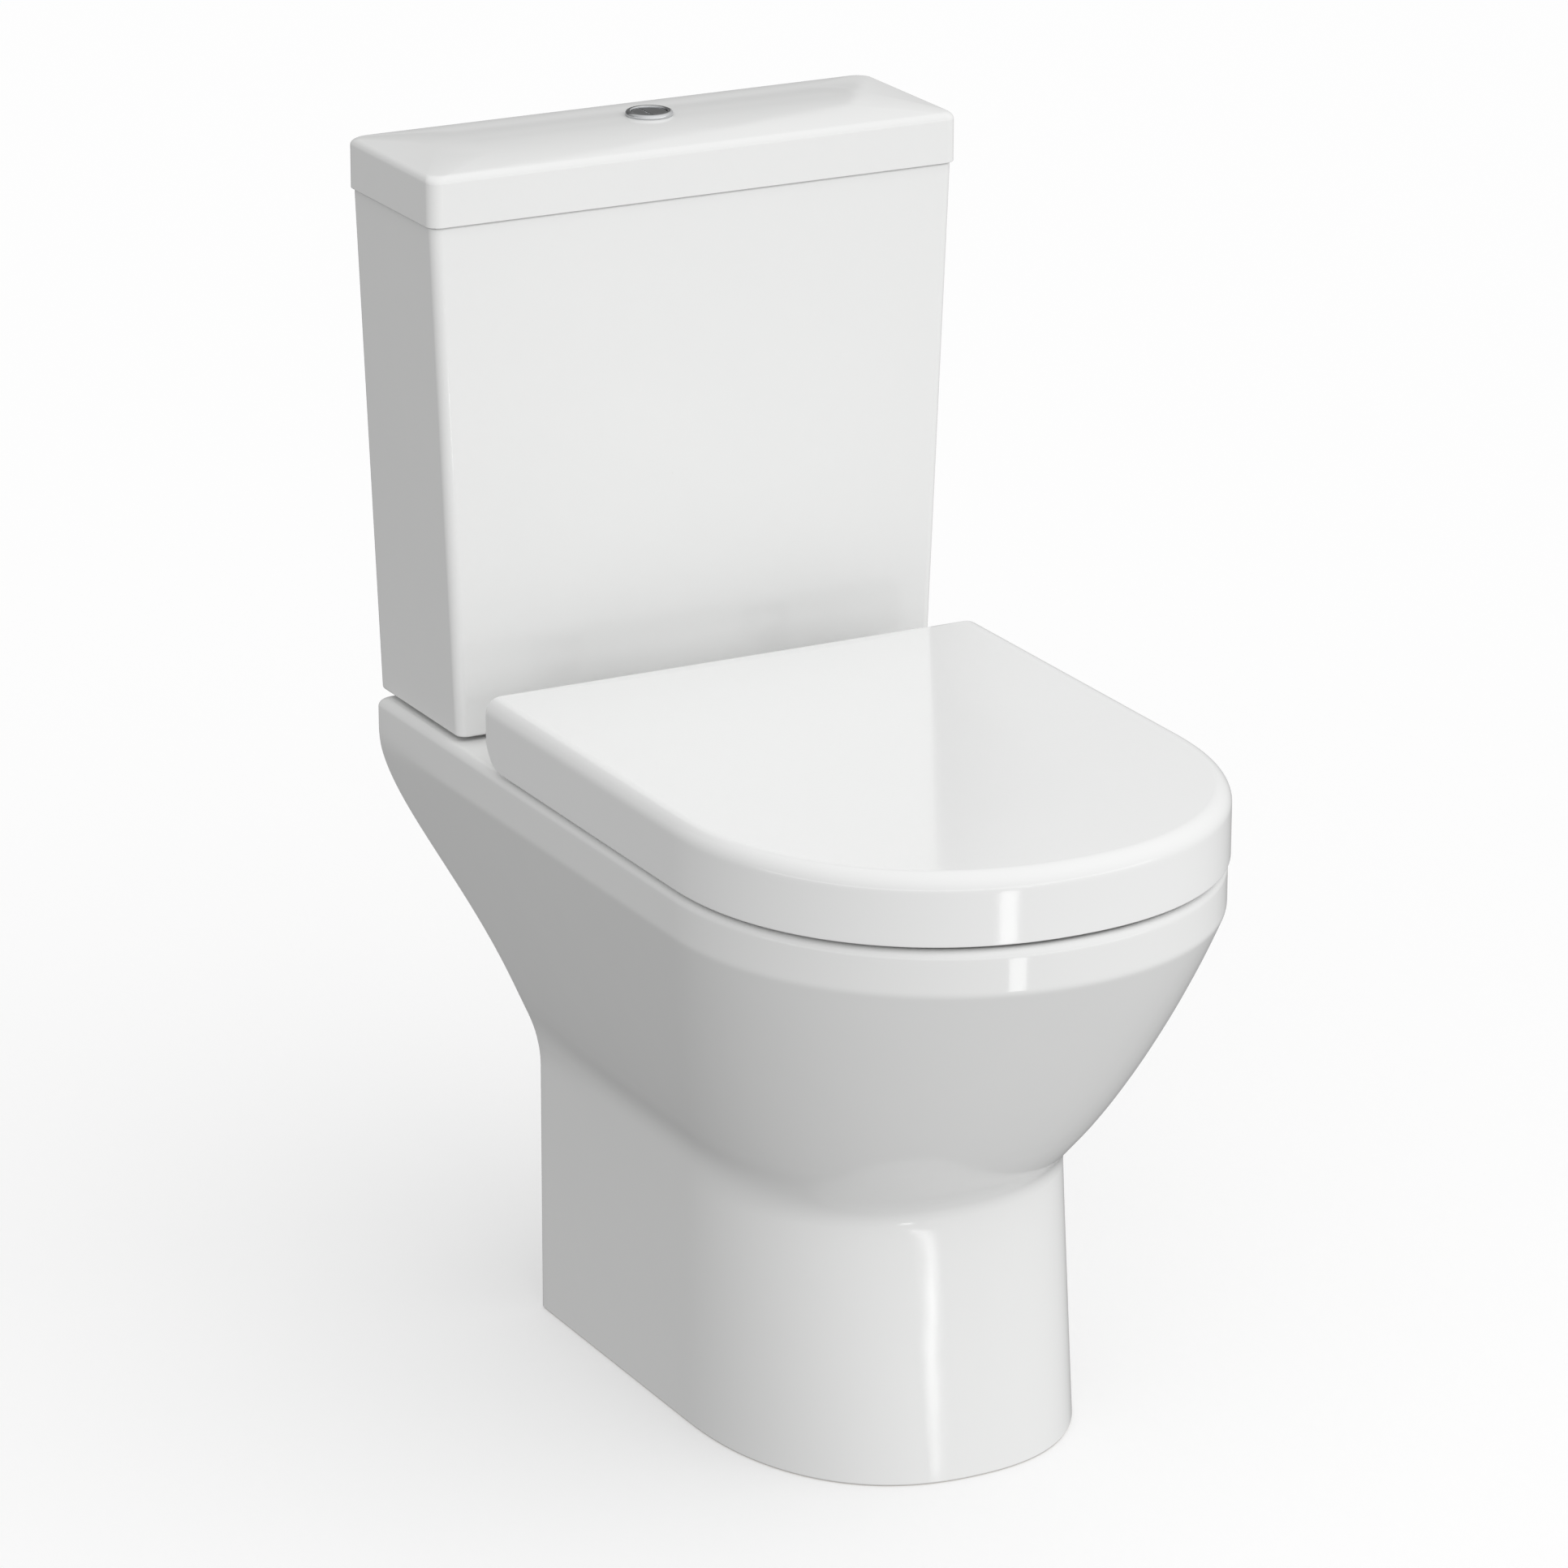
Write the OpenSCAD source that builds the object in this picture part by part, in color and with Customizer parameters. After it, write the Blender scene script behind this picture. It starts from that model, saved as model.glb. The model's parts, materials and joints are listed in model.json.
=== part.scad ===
// Close coupled toilet: china pan and cistern, wrap-over seat, flush valve and fill valve.
// X runs across, the wall is towards +Y, and the floor is Z = 0.

/* [Overall] */
// Depth from the wall to the front of the rim
depth = 626; // [600:1:700]
// Height of the pan's rim above the floor
rim_h = 400; // [380:1:480]
// Height of the cistern body
tank_h = 340.5; // [280:1:410]

/* [Pan] */
// Width across the rim
rim_w = 360.7; // [340:0.1:400]
// Height of the upright band around the rim
band_h = 29; // [22:1:40]
// Radius rolled along the rim's top edge
rim_roll = 6; // [3:1:8]
// Length of the rounded nose at the rim
rim_nose = 187; // [180:1:210]
// Width of the pedestal
foot_w = 248; // [220:1:270]
// Length of the pedestal's rounded nose
foot_nose = 161; // [130:1:190]
// How far the toe stands back from the front of the rim
toe_back = 120; // [90:1:150]
// How far the pedestal leans back from the toe to the bowl
toe_lean = 28; // [10:1:40]
// Height of the crease under the bowl, at the front
crease_front = 177; // [150:1:200]
// Height of the crease under the bowl, at the sides
crease_side = 194; // [170:1:210]
// Gap from the wall to the back of the deck
deck_gap = 10; // [5:1:25]
// Gap from the wall to the back of the pedestal
foot_gap = 133; // [110:1:150]
// Thickness of the china walls
wall = 12; // [9:0.5:14]
// Thickness of the deck that carries the cistern
deck_t = 15; // [12:1:18]
// Half width of the bowl's mouth
mouth_half = 124; // [110:1:130]
// Distance from the front of the rim to the bowl's mouth
mouth_front = 52; // [45:1:65]
// Back of the bowl's mouth, in front of the hinge
mouth_back = 55; // [50:1:70]
// Thickness of the lip that hangs inside the rim
lip_t = 9; // [7:0.5:11]
// How far the lip hangs down
lip_h = 30; // [24:1:36]
// Depth of the water passage behind the lip
rim_passage = 14; // [10:1:18]
// Height of the bottom of the bowl
sump_z = 95; // [80:1:110]

/* [Outlet] */
// Height of the middle of the outlet
outlet_z = 185; // [175:1:190]
// Outside radius of the outlet spigot
outlet_r = 51; // [50:0.5:55]
// Wall of the outlet spigot
outlet_wall = 9; // [7:0.5:11]
// Gap from the wall to the end of the spigot
outlet_gap = 83; // [70:1:100]
// Outside radius of the trap
trap_r = 46; // [42:1:48]

/* [Cistern] */
// Width at the top
tank_top_w = 375.7; // [350:0.1:420]
// Width at the bottom
tank_base_w = 347; // [330:1:380]
// Depth from front to back
tank_d = 122.2; // [115:0.1:160]
// Gap from the wall to the back of the cistern
tank_gap = 2; // [1:0.5:10]
// Radius of the upright corners
tank_corner = 7; // [4:0.5:9]
// Thickness of the cistern's walls
tank_wall = 9; // [7:0.5:11]
// Thickness of the cistern's floor
tank_floor = 12; // [10:0.5:14]
// Dark gap left under the cistern by its foam strips
tank_lift = 3; // [2:0.5:5]
// Height of the lid's upright edge
lid_edge = 32; // [25:1:40]
// How far the lid's crown rises above its edge
lid_crown = 5.3; // [4:0.1:8]
// How far the lid overhangs the body
lid_over = 2; // [1:0.5:4]
// Thickness of the pads under the lid
pad_t = 1.2; // [0.8:0.1:2]
// Clearance between the lid's locating rib and the body
rib_gap = 1.5; // [1:0.1:2.5]
// Thickness of the lid's locating rib
rib_t = 6; // [5:0.5:8]

/* [Seat] */
// Width of the cover
cover_w = 361.4; // [340:0.1:400]
// Gap from the wall to the back of the cover
cover_gap = 177; // [160:1:190]
// Top of the closed cover above the rim
cover_top = 48.5; // [46:0.5:56]
// Gap between the cover's lower edge and the rim
cover_lift = 2.4; // [1.5:0.1:4]
// Gap from the front of the cover to the front of the rim
cover_nip = 2.3; // [0:0.1:5]
// Radius rolled along the cover's top edge
cover_roll = 11; // [8:1:13]
// Thickness of the cover
cover_t = 4.5; // [3.5:0.5:5]
// Clearance between the cover's skirt and the seat ring
ring_gap = 2.2; // [1.5:0.1:4]
// Thickness of the seat ring
ring_t = 26; // [20:1:27]
// Half width of the hole in the seat ring
ring_half = 115; // [105:1:120]
// Height of the rubber buffers under the seat ring
buffer_h = 8; // [6:0.5:10]

/* [Hinge] */
// Distance between the hinge posts
post_gap = 155; // [150:1:160]
// Height of the hinge pins above the rim
pin_z = 27; // [26:0.5:29]
// Distance from the hinge pins to the back of the cover
pin_back = 25; // [24:0.5:26]
// Radius of the hinge pins
pin_r = 5; // [4:0.5:5.5]
// Running clearance around the hinge pins
pin_play = 0.06; // [0.02:0.01:0.1]
// Radius of the hinge studs and coupling bolts
stud_r = 4; // [3:0.5:4]

/* [Flush valve] */
// Distance from the wall to the middle of the flush valve
valve_gap = 68; // [62:1:70]
// Outside radius of the threaded tail
tail_r = 28; // [26:0.5:29]
// Bore of the valve's seat
seat_r = 25; // [22:0.5:25]
// Outside radius of the overflow tube
tube_r = 15; // [13:0.5:16]
// Height of the overflow tube above the cistern's floor
tube_h = 262; // [200:1:290]
// How far the tube lifts
tube_lift = 8; // [6:0.5:9]
// Radius of the rubber gasket between cistern and pan
gasket_r = 47; // [44:1:49]

/* [Push button] */
// Distance from the wall to the middle of the button
button_gap = 56; // [50:1:62]
// Outside radius of the bezel
bezel_r = 15.6; // [15:0.1:20]
// Height of the bezel above the lid
bezel_h = 3; // [2:0.5:5]
// Outside radius of the threaded sleeve
sleeve_r = 13.2; // [13:0.1:14]
// Radius of the two button halves together
button_r = 11.5; // [11:0.1:11.5]
// How far a button half travels
button_travel = 5; // [4:0.5:5]

/* [Fill valve] */
// Distance from the middle to the fill valve
fill_x = 130; // [120:1:135]
// Radius of the half inch threaded tail
fill_r = 10.48; // [10.4:0.01:10.5]
// Free length of thread under the back nut
fill_tail = 41; // [30:1:50]
// How far the float drops
float_drop = 12; // [8:1:12]

/* [Hidden] */
$fn = 64;
eps = 0.01;

wall_y = depth / 2;
front_y = -depth / 2;
band_z = rim_h - band_h;
foot_back = wall_y - foot_gap;
deck_back = wall_y - deck_gap;
mouth_y0 = front_y + mouth_front;
under_deck = rim_h - deck_t;

tank_z = rim_h + tank_lift;
tank_top = tank_z + tank_h;
tank_in_z = tank_z + tank_floor;
tank_y1 = wall_y - tank_gap;
tank_y0 = tank_y1 - tank_d;
lid_z = tank_top + pad_t;
lid_top = lid_z + lid_edge + lid_crown;
lid_w = tank_top_w + 2 * lid_over;
lid_d = tank_d + 2 * lid_over;
lid_y = (tank_y0 + tank_y1) / 2;
lid_t = 10;

hinge_y = wall_y - cover_gap - pin_back;
hinge_z = rim_h + pin_z;
cover_back = wall_y - cover_gap;
cover_front = front_y + cover_nip;
cover_z0 = rim_h + cover_lift;
cover_z1 = rim_h + cover_top;
ceiling = cover_z1 - cover_t - 0.5;
ring_z0 = rim_h + buffer_h;
ring_z1 = ring_z0 + ring_t;
ring_w = cover_w - 2 * (cover_t + ring_gap);
ring_back = hinge_y - 19;
ring_front = cover_front + cover_t + ring_gap;
post_x = post_gap / 2;

valve_y = wall_y - valve_gap;
valve_z = tank_in_z + 3;
flange_top = valve_z + 6;
cage_top = tank_in_z + 225;
tube_top = tank_in_z + tube_h;
rocker_z = tube_top + 29;
bolt_x = 82;

button_y = wall_y - button_gap;
button_top = lid_top + bezel_h - 0.8;
full_x = 5;
half_x = -6.5;
web_z = lid_top - 24;
stem_end = web_z - 6;
rocker_y = button_y - 16;
link_y = rocker_y - 24;

fill_nut_z = tank_z - 10;
head_z = tank_in_z + 225;
lever_z = head_z + 42;
rod_x = -fill_x + 34;
float_z = tank_in_z + 145;

// How far a height is up the bowl: 0 at its foot, 1 at the band
function rise(z, foot) = min(1, max(0, (z - foot) / (band_z - foot)));
function mix(a, b, t) = a + (b - a) * t;
function toe_y(z) = front_y + toe_back + toe_lean * min(1, z / crease_front);
function pan_half(z) = mix(foot_w, rim_w, pow(rise(z, crease_side), 0.8)) / 2;
function pan_front(z) = mix(toe_y(z), front_y, pow(rise(z, crease_front), 0.81));
function pan_straight(z) =
  mix(front_y + toe_back + foot_nose, front_y + rim_nose, pow(rise(z, crease_front), 0.92));
function pan_full(z) = let (t = rise(z, crease_front)) 2.3 - 0.26 * t + 0.44 * t * (1 - t);
function pan_back(z) =
  mix(foot_back, deck_back, 1 - pow(1 - pow(rise(z, crease_front), 3.2), 3));

// Outline with square corners at the back and a rounded nose at the front
function nose(half, y0, y1, yb, n) =
  concat([[-half, yb], [-half, y1]],
    [for (a = [6:6:174]) [-half * sign(cos(a)) * pow(abs(cos(a)), 2 / n),
      y1 - (y1 - y0) * pow(sin(a), 2 / n)]],
    [[half, y1], [half, yb]]);
// Egg outline: half width, front, widest place and back
function egg(half, y0, yc, y1) =
  [for (a = [0:9:351]) [half * cos(a), yc + (sin(a) > 0 ? y1 - yc : yc - y0) * sin(a)]];
// Rounded rectangle about [0, y]
function round_box(w, d, r, y) =
  [for (c = [0:3], a = [0:15:90])
    let (sx = (c == 0 || c == 3) ? 1 : -1, sy = c < 2 ? 1 : -1, t = a + 90 * c)
    [sx * (w / 2 - r) + r * cos(t), y + sy * (d / 2 - r) + r * sin(t)]];

// Solid through a list of [z, outline] sections that all have the same number of points
module loft(sections) {
  n = len(sections[0][1]);
  m = len(sections);
  points = [for (s = sections, p = s[1]) [p[0], p[1], s[0]]];
  bottom = [for (i = [0:n - 1]) i];
  top = [for (i = [n - 1:-1:0]) (m - 1) * n + i];
  sides = [for (k = [0:m - 2], i = [0:n - 1]) let (j = (i + 1) % n, a = k * n, b = a + n)
    each [[a + i, b + i, b + j], [a + i, b + j, a + j]]];
  polyhedron(points = points, faces = concat([bottom], sides, [top]), convexity = 8);
}

module slab(x0, x1, y0, y1, z0, z1) {
  translate([x0, y0, z0]) cube([x1 - x0, y1 - y0, z1 - z0]);
}

module rod(x, y, z0, z1, r) {
  translate([x, y, z0]) cylinder(r = r, h = z1 - z0);
}

module ring(x, y, z0, z1, r, bore) {
  difference() {
    rod(x, y, z0, z1, r);
    rod(x, y, z0 - 1, z1 + 1, bore);
  }
}

// Cylinder along X
module axle(x0, x1, y, z, r) {
  translate([x0, y, z]) rotate([0, 90, 0]) cylinder(r = r, h = x1 - x0);
}

module both() {
  children();
  mirror([1, 0, 0]) children();
}

module wing_nut(x, y, z0, h, r) {
  difference() {
    union() {
      rod(x, y, z0, z0 + h, r + 4);
      slab(x - 17, x + 17, y - 2, y + 2, z0, z0 + h * 0.8);
    }
    rod(x, y, z0 - 1, z0 + h + 1, r);
  }
}

/* Pan */

function rim_inset(z) = let (t = max(0, z - rim_h + rim_roll) / rim_roll)
  rim_roll * (1 - sqrt(max(0, 1 - t * t)));
function pan_section(z) = let (e = rim_inset(z))
  [z, nose(pan_half(z) - e, pan_front(z) + e, pan_straight(z), pan_back(z) - e, pan_full(z))];
function void_section(z) =
  [z, nose(pan_half(z) - wall, pan_front(z) + wall, pan_straight(z), wall_y + 60, pan_full(z))];

module pan_outside() {
  loft([for (z = [0, crease_front * 0.5, crease_front - 8]) pan_section(z),
    for (z = [crease_front:(crease_side - crease_front) / 3:crease_side + 1]) pan_section(z),
    for (i = [1:9]) pan_section(mix(crease_side, band_z, pow(i / 9, 1.4))),
    for (a = [0:22.5:90]) pan_section(rim_h - rim_roll + rim_roll * sin(a))]);
}

module pan_void() {
  rim_floor = rim_h - lip_h - wall - 8;
  difference() {
    loft([for (z = [-1, crease_front, crease_side]) void_section(z),
      for (i = [1:6]) void_section(mix(crease_side, band_z, pow(i / 6, 1.4))),
      void_section(under_deck)]);
    slab(-rim_w, rim_w, front_y - 1, mouth_back + 30, rim_floor, rim_h);
  }
}

// Section of the bowl's inside grown by e, u from 0 at the bottom to 1 under the rim
function bowl_section(u, e) =
  [mix(sump_z, rim_h - lip_h - 4, u) - (u == 0 ? e : 0),
    egg(mix(34, mouth_half + lip_t + rim_passage, pow(u, 0.7)) + e,
      mix(-90, mouth_y0 - lip_t - rim_passage, pow(u, 0.95)) - e,
      mix(-35, -70, u),
      mix(18, mouth_back + lip_t + 6, pow(u, 0.5)) + e)];

module mouth(e, z0, z1) {
  translate([0, 0, z0]) linear_extrude(z1 - z0)
    polygon(egg(mouth_half + e, mouth_y0 - e, -70, mouth_back + min(e, lip_t + 6)));
}

module bowl(e) {
  loft([for (u = [0, 0.04, 0.12, 0.25, 0.4, 0.6, 0.8, 1]) bowl_section(u, e)]);
}

module trap(r) {
  low = [0, -20, sump_z + 42];
  weir = [0, 88, outlet_z + 22];
  rise_v = weir - low;
  long = norm(rise_v);
  tilt = acos(rise_v[2] / long);
  fall = [0, foot_back - 40, outlet_z] - weir;
  fall_tilt = acos(fall[2] / norm(fall));
  translate(low) rotate([-tilt, 0, 0]) cylinder(r = r, h = long);
  translate(weir) sphere(r = r + 0.7);
  translate(weir) rotate([-fall_tilt, 0, 0]) cylinder(r = r, h = norm(fall));
  translate([0, foot_back - 40, outlet_z]) sphere(r = r + 0.7);
}

module outlet(r, extra) {
  y0 = foot_back - 40;
  translate([0, y0, outlet_z]) rotate([-90, 0, 0])
    cylinder(r = r, h = wall_y - outlet_gap - y0 + extra);
}

module pan() {
  duct_z = rim_h - 70;
  color("white") difference() {
    union() {
      difference() {
        union() {
          difference() {
            pan_outside();
            pan_void();
          }
          bowl(wall - 1);
          trap(trap_r);
          outlet(outlet_r, 0);
          slab(-50, 50, mouth_back + 15, deck_back - 6, duct_z, rim_h - 1);
          both() slab(72, foot_w / 2 - wall + 2, foot_back - 60, foot_back - 3, 0, 12);
        }
        bowl(0);
        mouth(lip_t + rim_passage, rim_h - lip_h - 4 - eps, rim_h - 13);
        slab(-40, 40, mouth_back - 20, deck_back - 16, duct_z + 12, rim_h - 26);
      }
      mouth(lip_t, rim_h - lip_h, rim_h - 1);
    }
    mouth(0, rim_h - lip_h - 5, rim_h + 1);
    trap(trap_r - outlet_wall);
    outlet(outlet_r - outlet_wall, 1);
    rod(0, valve_y, rim_h - 14, rim_h + 1, gasket_r + 0.4);
    rod(0, valve_y, rim_h - 27, rim_h, gasket_r - 11);
    rod(-fill_x, valve_y, under_deck - 1, rim_h + 1, 20);
    both() rod(bolt_x, valve_y, under_deck - 1, rim_h + 1, stud_r + 2.5);
    both() rod(post_x, hinge_y, under_deck - 1, rim_h + 1, stud_r + 3);
    both() rod(92, foot_back - 30, -1, 13, 4);
  }
}

/* Cistern */

function tank_half(z) = mix(tank_base_w, tank_top_w, (z - tank_z) / tank_h) / 2;
function tank_section(z, e, foot) =
  [z, round_box(2 * (tank_half(z) - e - foot), tank_d - 2 * (e + foot),
    max(1, tank_corner - e * 0.6), lid_y)];
function lid_section(z, e) =
  [z, round_box(lid_w - 2 * e, lid_d - 2 * e, max(1, tank_corner + 1 - e * 0.25), lid_y)];

module cistern() {
  color("white") difference() {
    loft([tank_section(tank_z, 0, 4), tank_section(tank_z + 1.2, 0, 1.2),
      tank_section(tank_z + 4, 0, 0), tank_section(tank_top, 0, 0)]);
    loft([tank_section(tank_in_z, tank_wall, 0), tank_section(tank_top + 1, tank_wall, 0)]);
    rod(0, valve_y, tank_z - 1, tank_in_z + 1, tail_r + 1);
    rod(-fill_x, valve_y, tank_z - 1, tank_in_z + 1, fill_r + 0.6);
    both() rod(bolt_x, valve_y, tank_z - 1, tank_in_z + 1, stud_r + 1.5);
    both() translate([100, tank_y1 + 1, tank_top - 50]) rotate([90, 0, 0])
      cylinder(r = stud_r, h = tank_wall + 2);
  }
}

module cistern_lid() {
  rib = tank_wall + rib_gap;
  color("white") difference() {
    union() {
      loft([lid_section(lid_z, 0), lid_section(lid_z + lid_edge - 3, 0),
        lid_section(lid_z + lid_edge, 1.6), lid_section(lid_z + lid_edge + 2, 6),
        lid_section(lid_z + lid_edge + 3.4, 14), lid_section(lid_z + lid_edge + 4.5, 26),
        lid_section(lid_top, 38)]);
      translate([0, 0, lid_z - 8]) linear_extrude(9)
        polygon(round_box(tank_top_w - 2 * rib, tank_d - 2 * rib, 3, lid_y));
    }
    translate([0, 0, lid_z - 9]) linear_extrude(lid_edge + lid_crown + 9 - lid_t)
      polygon(round_box(tank_top_w - 2 * rib - 2 * rib_t, tank_d - 2 * rib - 2 * rib_t, 3, lid_y));
    rod(0, button_y, lid_top - lid_t - 1, lid_top + 1, sleeve_r + 0.4);
  }
}

module lid_pads() {
  color("dimgray") both() for (y = [tank_y0 + tank_wall / 2, tank_y1 - tank_wall / 2])
    rod(tank_top_w / 2 - 40, y, tank_top, lid_z, 3.5);
}

/* Seat */

function cover_section(z, e) =
  [z, nose(cover_w / 2 - e, cover_front + e, cover_front + cover_w / 2 + 5,
    cover_back - e, 2.1)];

// What is cut away below the hinge so that the back of the cover rolls round it
module back_corner(r) {
  difference() {
    slab(-cover_w, cover_w, hinge_y, hinge_y + 60, hinge_z - 60, hinge_z);
    axle(-cover_w - 1, cover_w + 1, hinge_y, hinge_z, r);
  }
}

module cover() {
  lug_in = post_x - 49.5;
  lug_out = post_x - 11.5;
  color("whitesmoke") difference() {
    union() {
      difference() {
        loft(concat([cover_section(cover_z0, 0.8), cover_section(cover_z0 + 1.2, 0)],
          [for (a = [0:18:90]) cover_section(cover_z1 - cover_roll + (cover_roll - 0.6) * sin(a),
            cover_roll * (1 - cos(a)))],
          [cover_section(cover_z1, cover_roll + 40)]));
        back_corner(pin_back);
        difference() {
          loft([cover_section(cover_z0 - 1, cover_t), cover_section(ceiling - 7, cover_t),
            cover_section(ceiling - 2, cover_t + 2.5), cover_section(ceiling, cover_t + 7)]);
          back_corner(pin_back - cover_t);
        }
      }
      both() axle(lug_in, lug_out, hinge_y, hinge_z, 12);
      both() slab(lug_in, lug_out, hinge_y - 10, hinge_y + 10, hinge_z, ceiling + 1);
    }
    both() axle(lug_in - 1, lug_out + 1, hinge_y, hinge_z, pin_r + pin_play);
    both() axle(lug_in - 1, lug_in + 21, hinge_y, hinge_z, 8 + pin_play);
    both() slab(post_x - 18, post_x + 18, hinge_y + 14, cover_back + 1, cover_z0 - 1, ceiling - 1);
    both() slab(post_x - 18, post_x + 18, hinge_y - 2, hinge_y + 15, cover_z0 - 1, hinge_z - 13);
  }
}

module cover_buffers() {
  color("gainsboro") both() {
    rod(post_x + 66, hinge_y - 125, ring_z1, ceiling, 6);
    rod(85, front_y + 68, ring_z1, ceiling, 6);
  }
}

function ring_section(z, e) =
  [z, nose(ring_w / 2 - e, ring_front + e, cover_front + cover_w / 2 + 5, ring_back - e, 2.1)];

module seat_ring() {
  arm_in = post_x + 11.5;
  arm_out = post_x + 28;
  color("white") difference() {
    union() {
      difference() {
        loft([ring_section(ring_z0, 3), ring_section(ring_z0 + 3, 0),
          ring_section(ring_z1 - 7, 0), ring_section(ring_z1 - 2.5, 2.2),
          ring_section(ring_z1 - 0.6, 6.5), ring_section(ring_z1, 13)]);
        loft([[ring_z0 - 1, egg(ring_half, mouth_y0 + 9, -70, mouth_back - 10)],
          [ring_z1 - 8, egg(ring_half, mouth_y0 + 9, -70, mouth_back - 10)],
          [ring_z1 + 1, egg(ring_half + 7, mouth_y0 + 2, -70, mouth_back - 3)]]);
      }
      both() axle(arm_in, arm_out, hinge_y, hinge_z, 11);
      both() slab(arm_in, arm_out, ring_back - 8, hinge_y, hinge_z - 9, hinge_z + 7);
    }
    both() axle(arm_in - 1, arm_out + 1, hinge_y, hinge_z, pin_r + pin_play);
  }
}

module seat_buffers() {
  color("gainsboro") both() {
    rod(post_x + 70, hinge_y - 100, rim_h, ring_z0, 8);
    rod(92, front_y + 60, rim_h, ring_z0, 8);
  }
}

/* Hinge */

module hinge_posts() {
  color("silver") both() difference() {
    union() {
      rod(post_x, hinge_y, rim_h, rim_h + 1.5, 12.5);
      rod(post_x, hinge_y, rim_h, hinge_z, 9.5);
      axle(post_x - 10.5, post_x + 10.5, hinge_y, hinge_z, 11);
    }
    axle(post_x - 12, post_x + 12, hinge_y, hinge_z, pin_r);
    rod(post_x, hinge_y, rim_h - 1, rim_h + 12, stud_r);
  }
}

module hinge_pins() {
  color("silver") both() axle(post_x - 29, post_x + 29, hinge_y, hinge_z, pin_r);
}

module hinge_dampers() {
  color("dimgray") both() axle(post_x - 48.5, post_x - 29, hinge_y, hinge_z, 8);
}

module hinge_studs() {
  color("silver") both() rod(post_x, hinge_y, under_deck - 40, rim_h + 12, stud_r);
}

module hinge_cones() {
  color("dimgray") both() difference() {
    translate([post_x, hinge_y, under_deck - 12]) cylinder(r1 = 9, r2 = 14, h = 12);
    rod(post_x, hinge_y, under_deck - 13, under_deck + 1, stud_r + 0.4);
  }
}

module hinge_wing_nuts() {
  color("whitesmoke") both() wing_nut(post_x, hinge_y, under_deck - 24, 12, stud_r);
}

/* Joint between cistern and pan */

module gasket() {
  color("dimgray") ring(0, valve_y, rim_h - 14, tank_z, gasket_r, tail_r + 6.4);
}

module foam_strips() {
  color("dimgray") both() slab(105, 112, tank_y0 + 8, deck_back - 8, rim_h, tank_z);
}

module coupling_bolts() {
  color("goldenrod") both() {
    rod(bolt_x, valve_y, under_deck - 42, valve_z - 1, stud_r);
    rod(bolt_x, valve_y, valve_z, valve_z + 4, 8);
    rod(bolt_x, valve_y, valve_z - 1, valve_z, stud_r);
  }
}

module coupling_seals() {
  color("dimgray") both() ring(bolt_x, valve_y, tank_in_z, valve_z, 12, stud_r);
}

module coupling_washers() {
  color("silver") both() ring(bolt_x, valve_y, under_deck - 2, under_deck, 12, stud_r + 0.4);
}

module coupling_wing_nuts() {
  color("goldenrod") both() wing_nut(bolt_x, valve_y, under_deck - 14, 12, stud_r);
}

/* Flush valve */

module valve_base() {
  color("white") difference() {
    union() {
      rod(0, valve_y, rim_h - 28, flange_top, tail_r);
      rod(0, valve_y, valve_z, flange_top, tail_r + 10);
    }
    rod(0, valve_y, rim_h - 29, flange_top + 1, seat_r);
  }
}

module valve_base_seal() {
  color("dimgray") ring(0, valve_y, tank_in_z, valve_z, tail_r + 9, tail_r);
}

module valve_back_nut() {
  color("whitesmoke") ring(0, valve_y, tank_z - 13, tank_z, tail_r + 6, tail_r);
}

module valve_cage() {
  color("royalblue") {
    ring(0, valve_y, flange_top, flange_top + 6, tail_r + 8, tail_r + 1);
    ring(0, valve_y, cage_top - 6, cage_top, tail_r + 8, tube_r + 0.08);
    for (a = [45:90:315]) rotate_about(a) rod(tail_r + 4.5, valve_y, flange_top + 6, cage_top - 6, 3);
  }
}

module rotate_about(a) {
  translate([0, valve_y, 0]) rotate([0, 0, a]) translate([0, -valve_y, 0]) children();
}

module overflow_tube() {
  color("white") difference() {
    union() {
      rod(0, valve_y, flange_top, tube_top, tube_r);
      rod(0, valve_y, flange_top + 4, flange_top + 8, seat_r - 2);
    }
    rod(0, valve_y, flange_top - 1, tube_top + 1, tube_r - 2.5);
  }
}

module valve_seal() {
  color("firebrick") ring(0, valve_y, flange_top, flange_top + 4, seat_r + 2.2, tube_r);
}

module lift_collar() {
  color("royalblue") difference() {
    union() {
      rod(0, valve_y, tube_top - 16, tube_top - 8, tube_r + 4);
      slab(full_x - 4, full_x + 4, link_y - 4, valve_y - tube_r - 1, tube_top - 16, tube_top - 8);
    }
    rod(0, valve_y, tube_top - 17, tube_top - 7, tube_r);
    rod(full_x, link_y, tube_top - 17, tube_top - 7, 1.5);
  }
}

module lift_link() {
  color("silver") {
    rod(full_x, link_y, tube_top - 16, rocker_z + 5, 1.5);
    rod(full_x, link_y, rocker_z + 3.4, rocker_z + 5.4, 3.4);
  }
}

module valve_bridge() {
  z0 = rocker_z + 10;
  color("royalblue") difference() {
    union() {
      both() rod(26, valve_y, cage_top, z0 + 2, 3);
      slab(-30, 30, valve_y - 17, button_y + 8, z0, z0 + 4);
      for (x = [[-12.6, -10.4], [-1.1, 1.1], [9, 11.2]])
        slab(x[0], x[1], rocker_y - 4, rocker_y + 4, rocker_z - 4, z0);
    }
    rod(full_x, button_y, z0 - 1, z0 + 5, 2.5);
    rod(half_x, button_y, z0 - 1, z0 + 5, 2.5);
    axle(-13, 12, rocker_y, rocker_z, 1.5);
  }
}

module rocker_pin() {
  color("silver") axle(-12.6, 11.2, rocker_y, rocker_z, 1.5);
}

module rocker(x, front) {
  difference() {
    slab(x - 3.5, x + 3.5, rocker_y - front, button_y + 3, rocker_z - 2, rocker_z + 2);
    axle(x - 5, x + 5, rocker_y, rocker_z, 1.56);
  }
}

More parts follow.
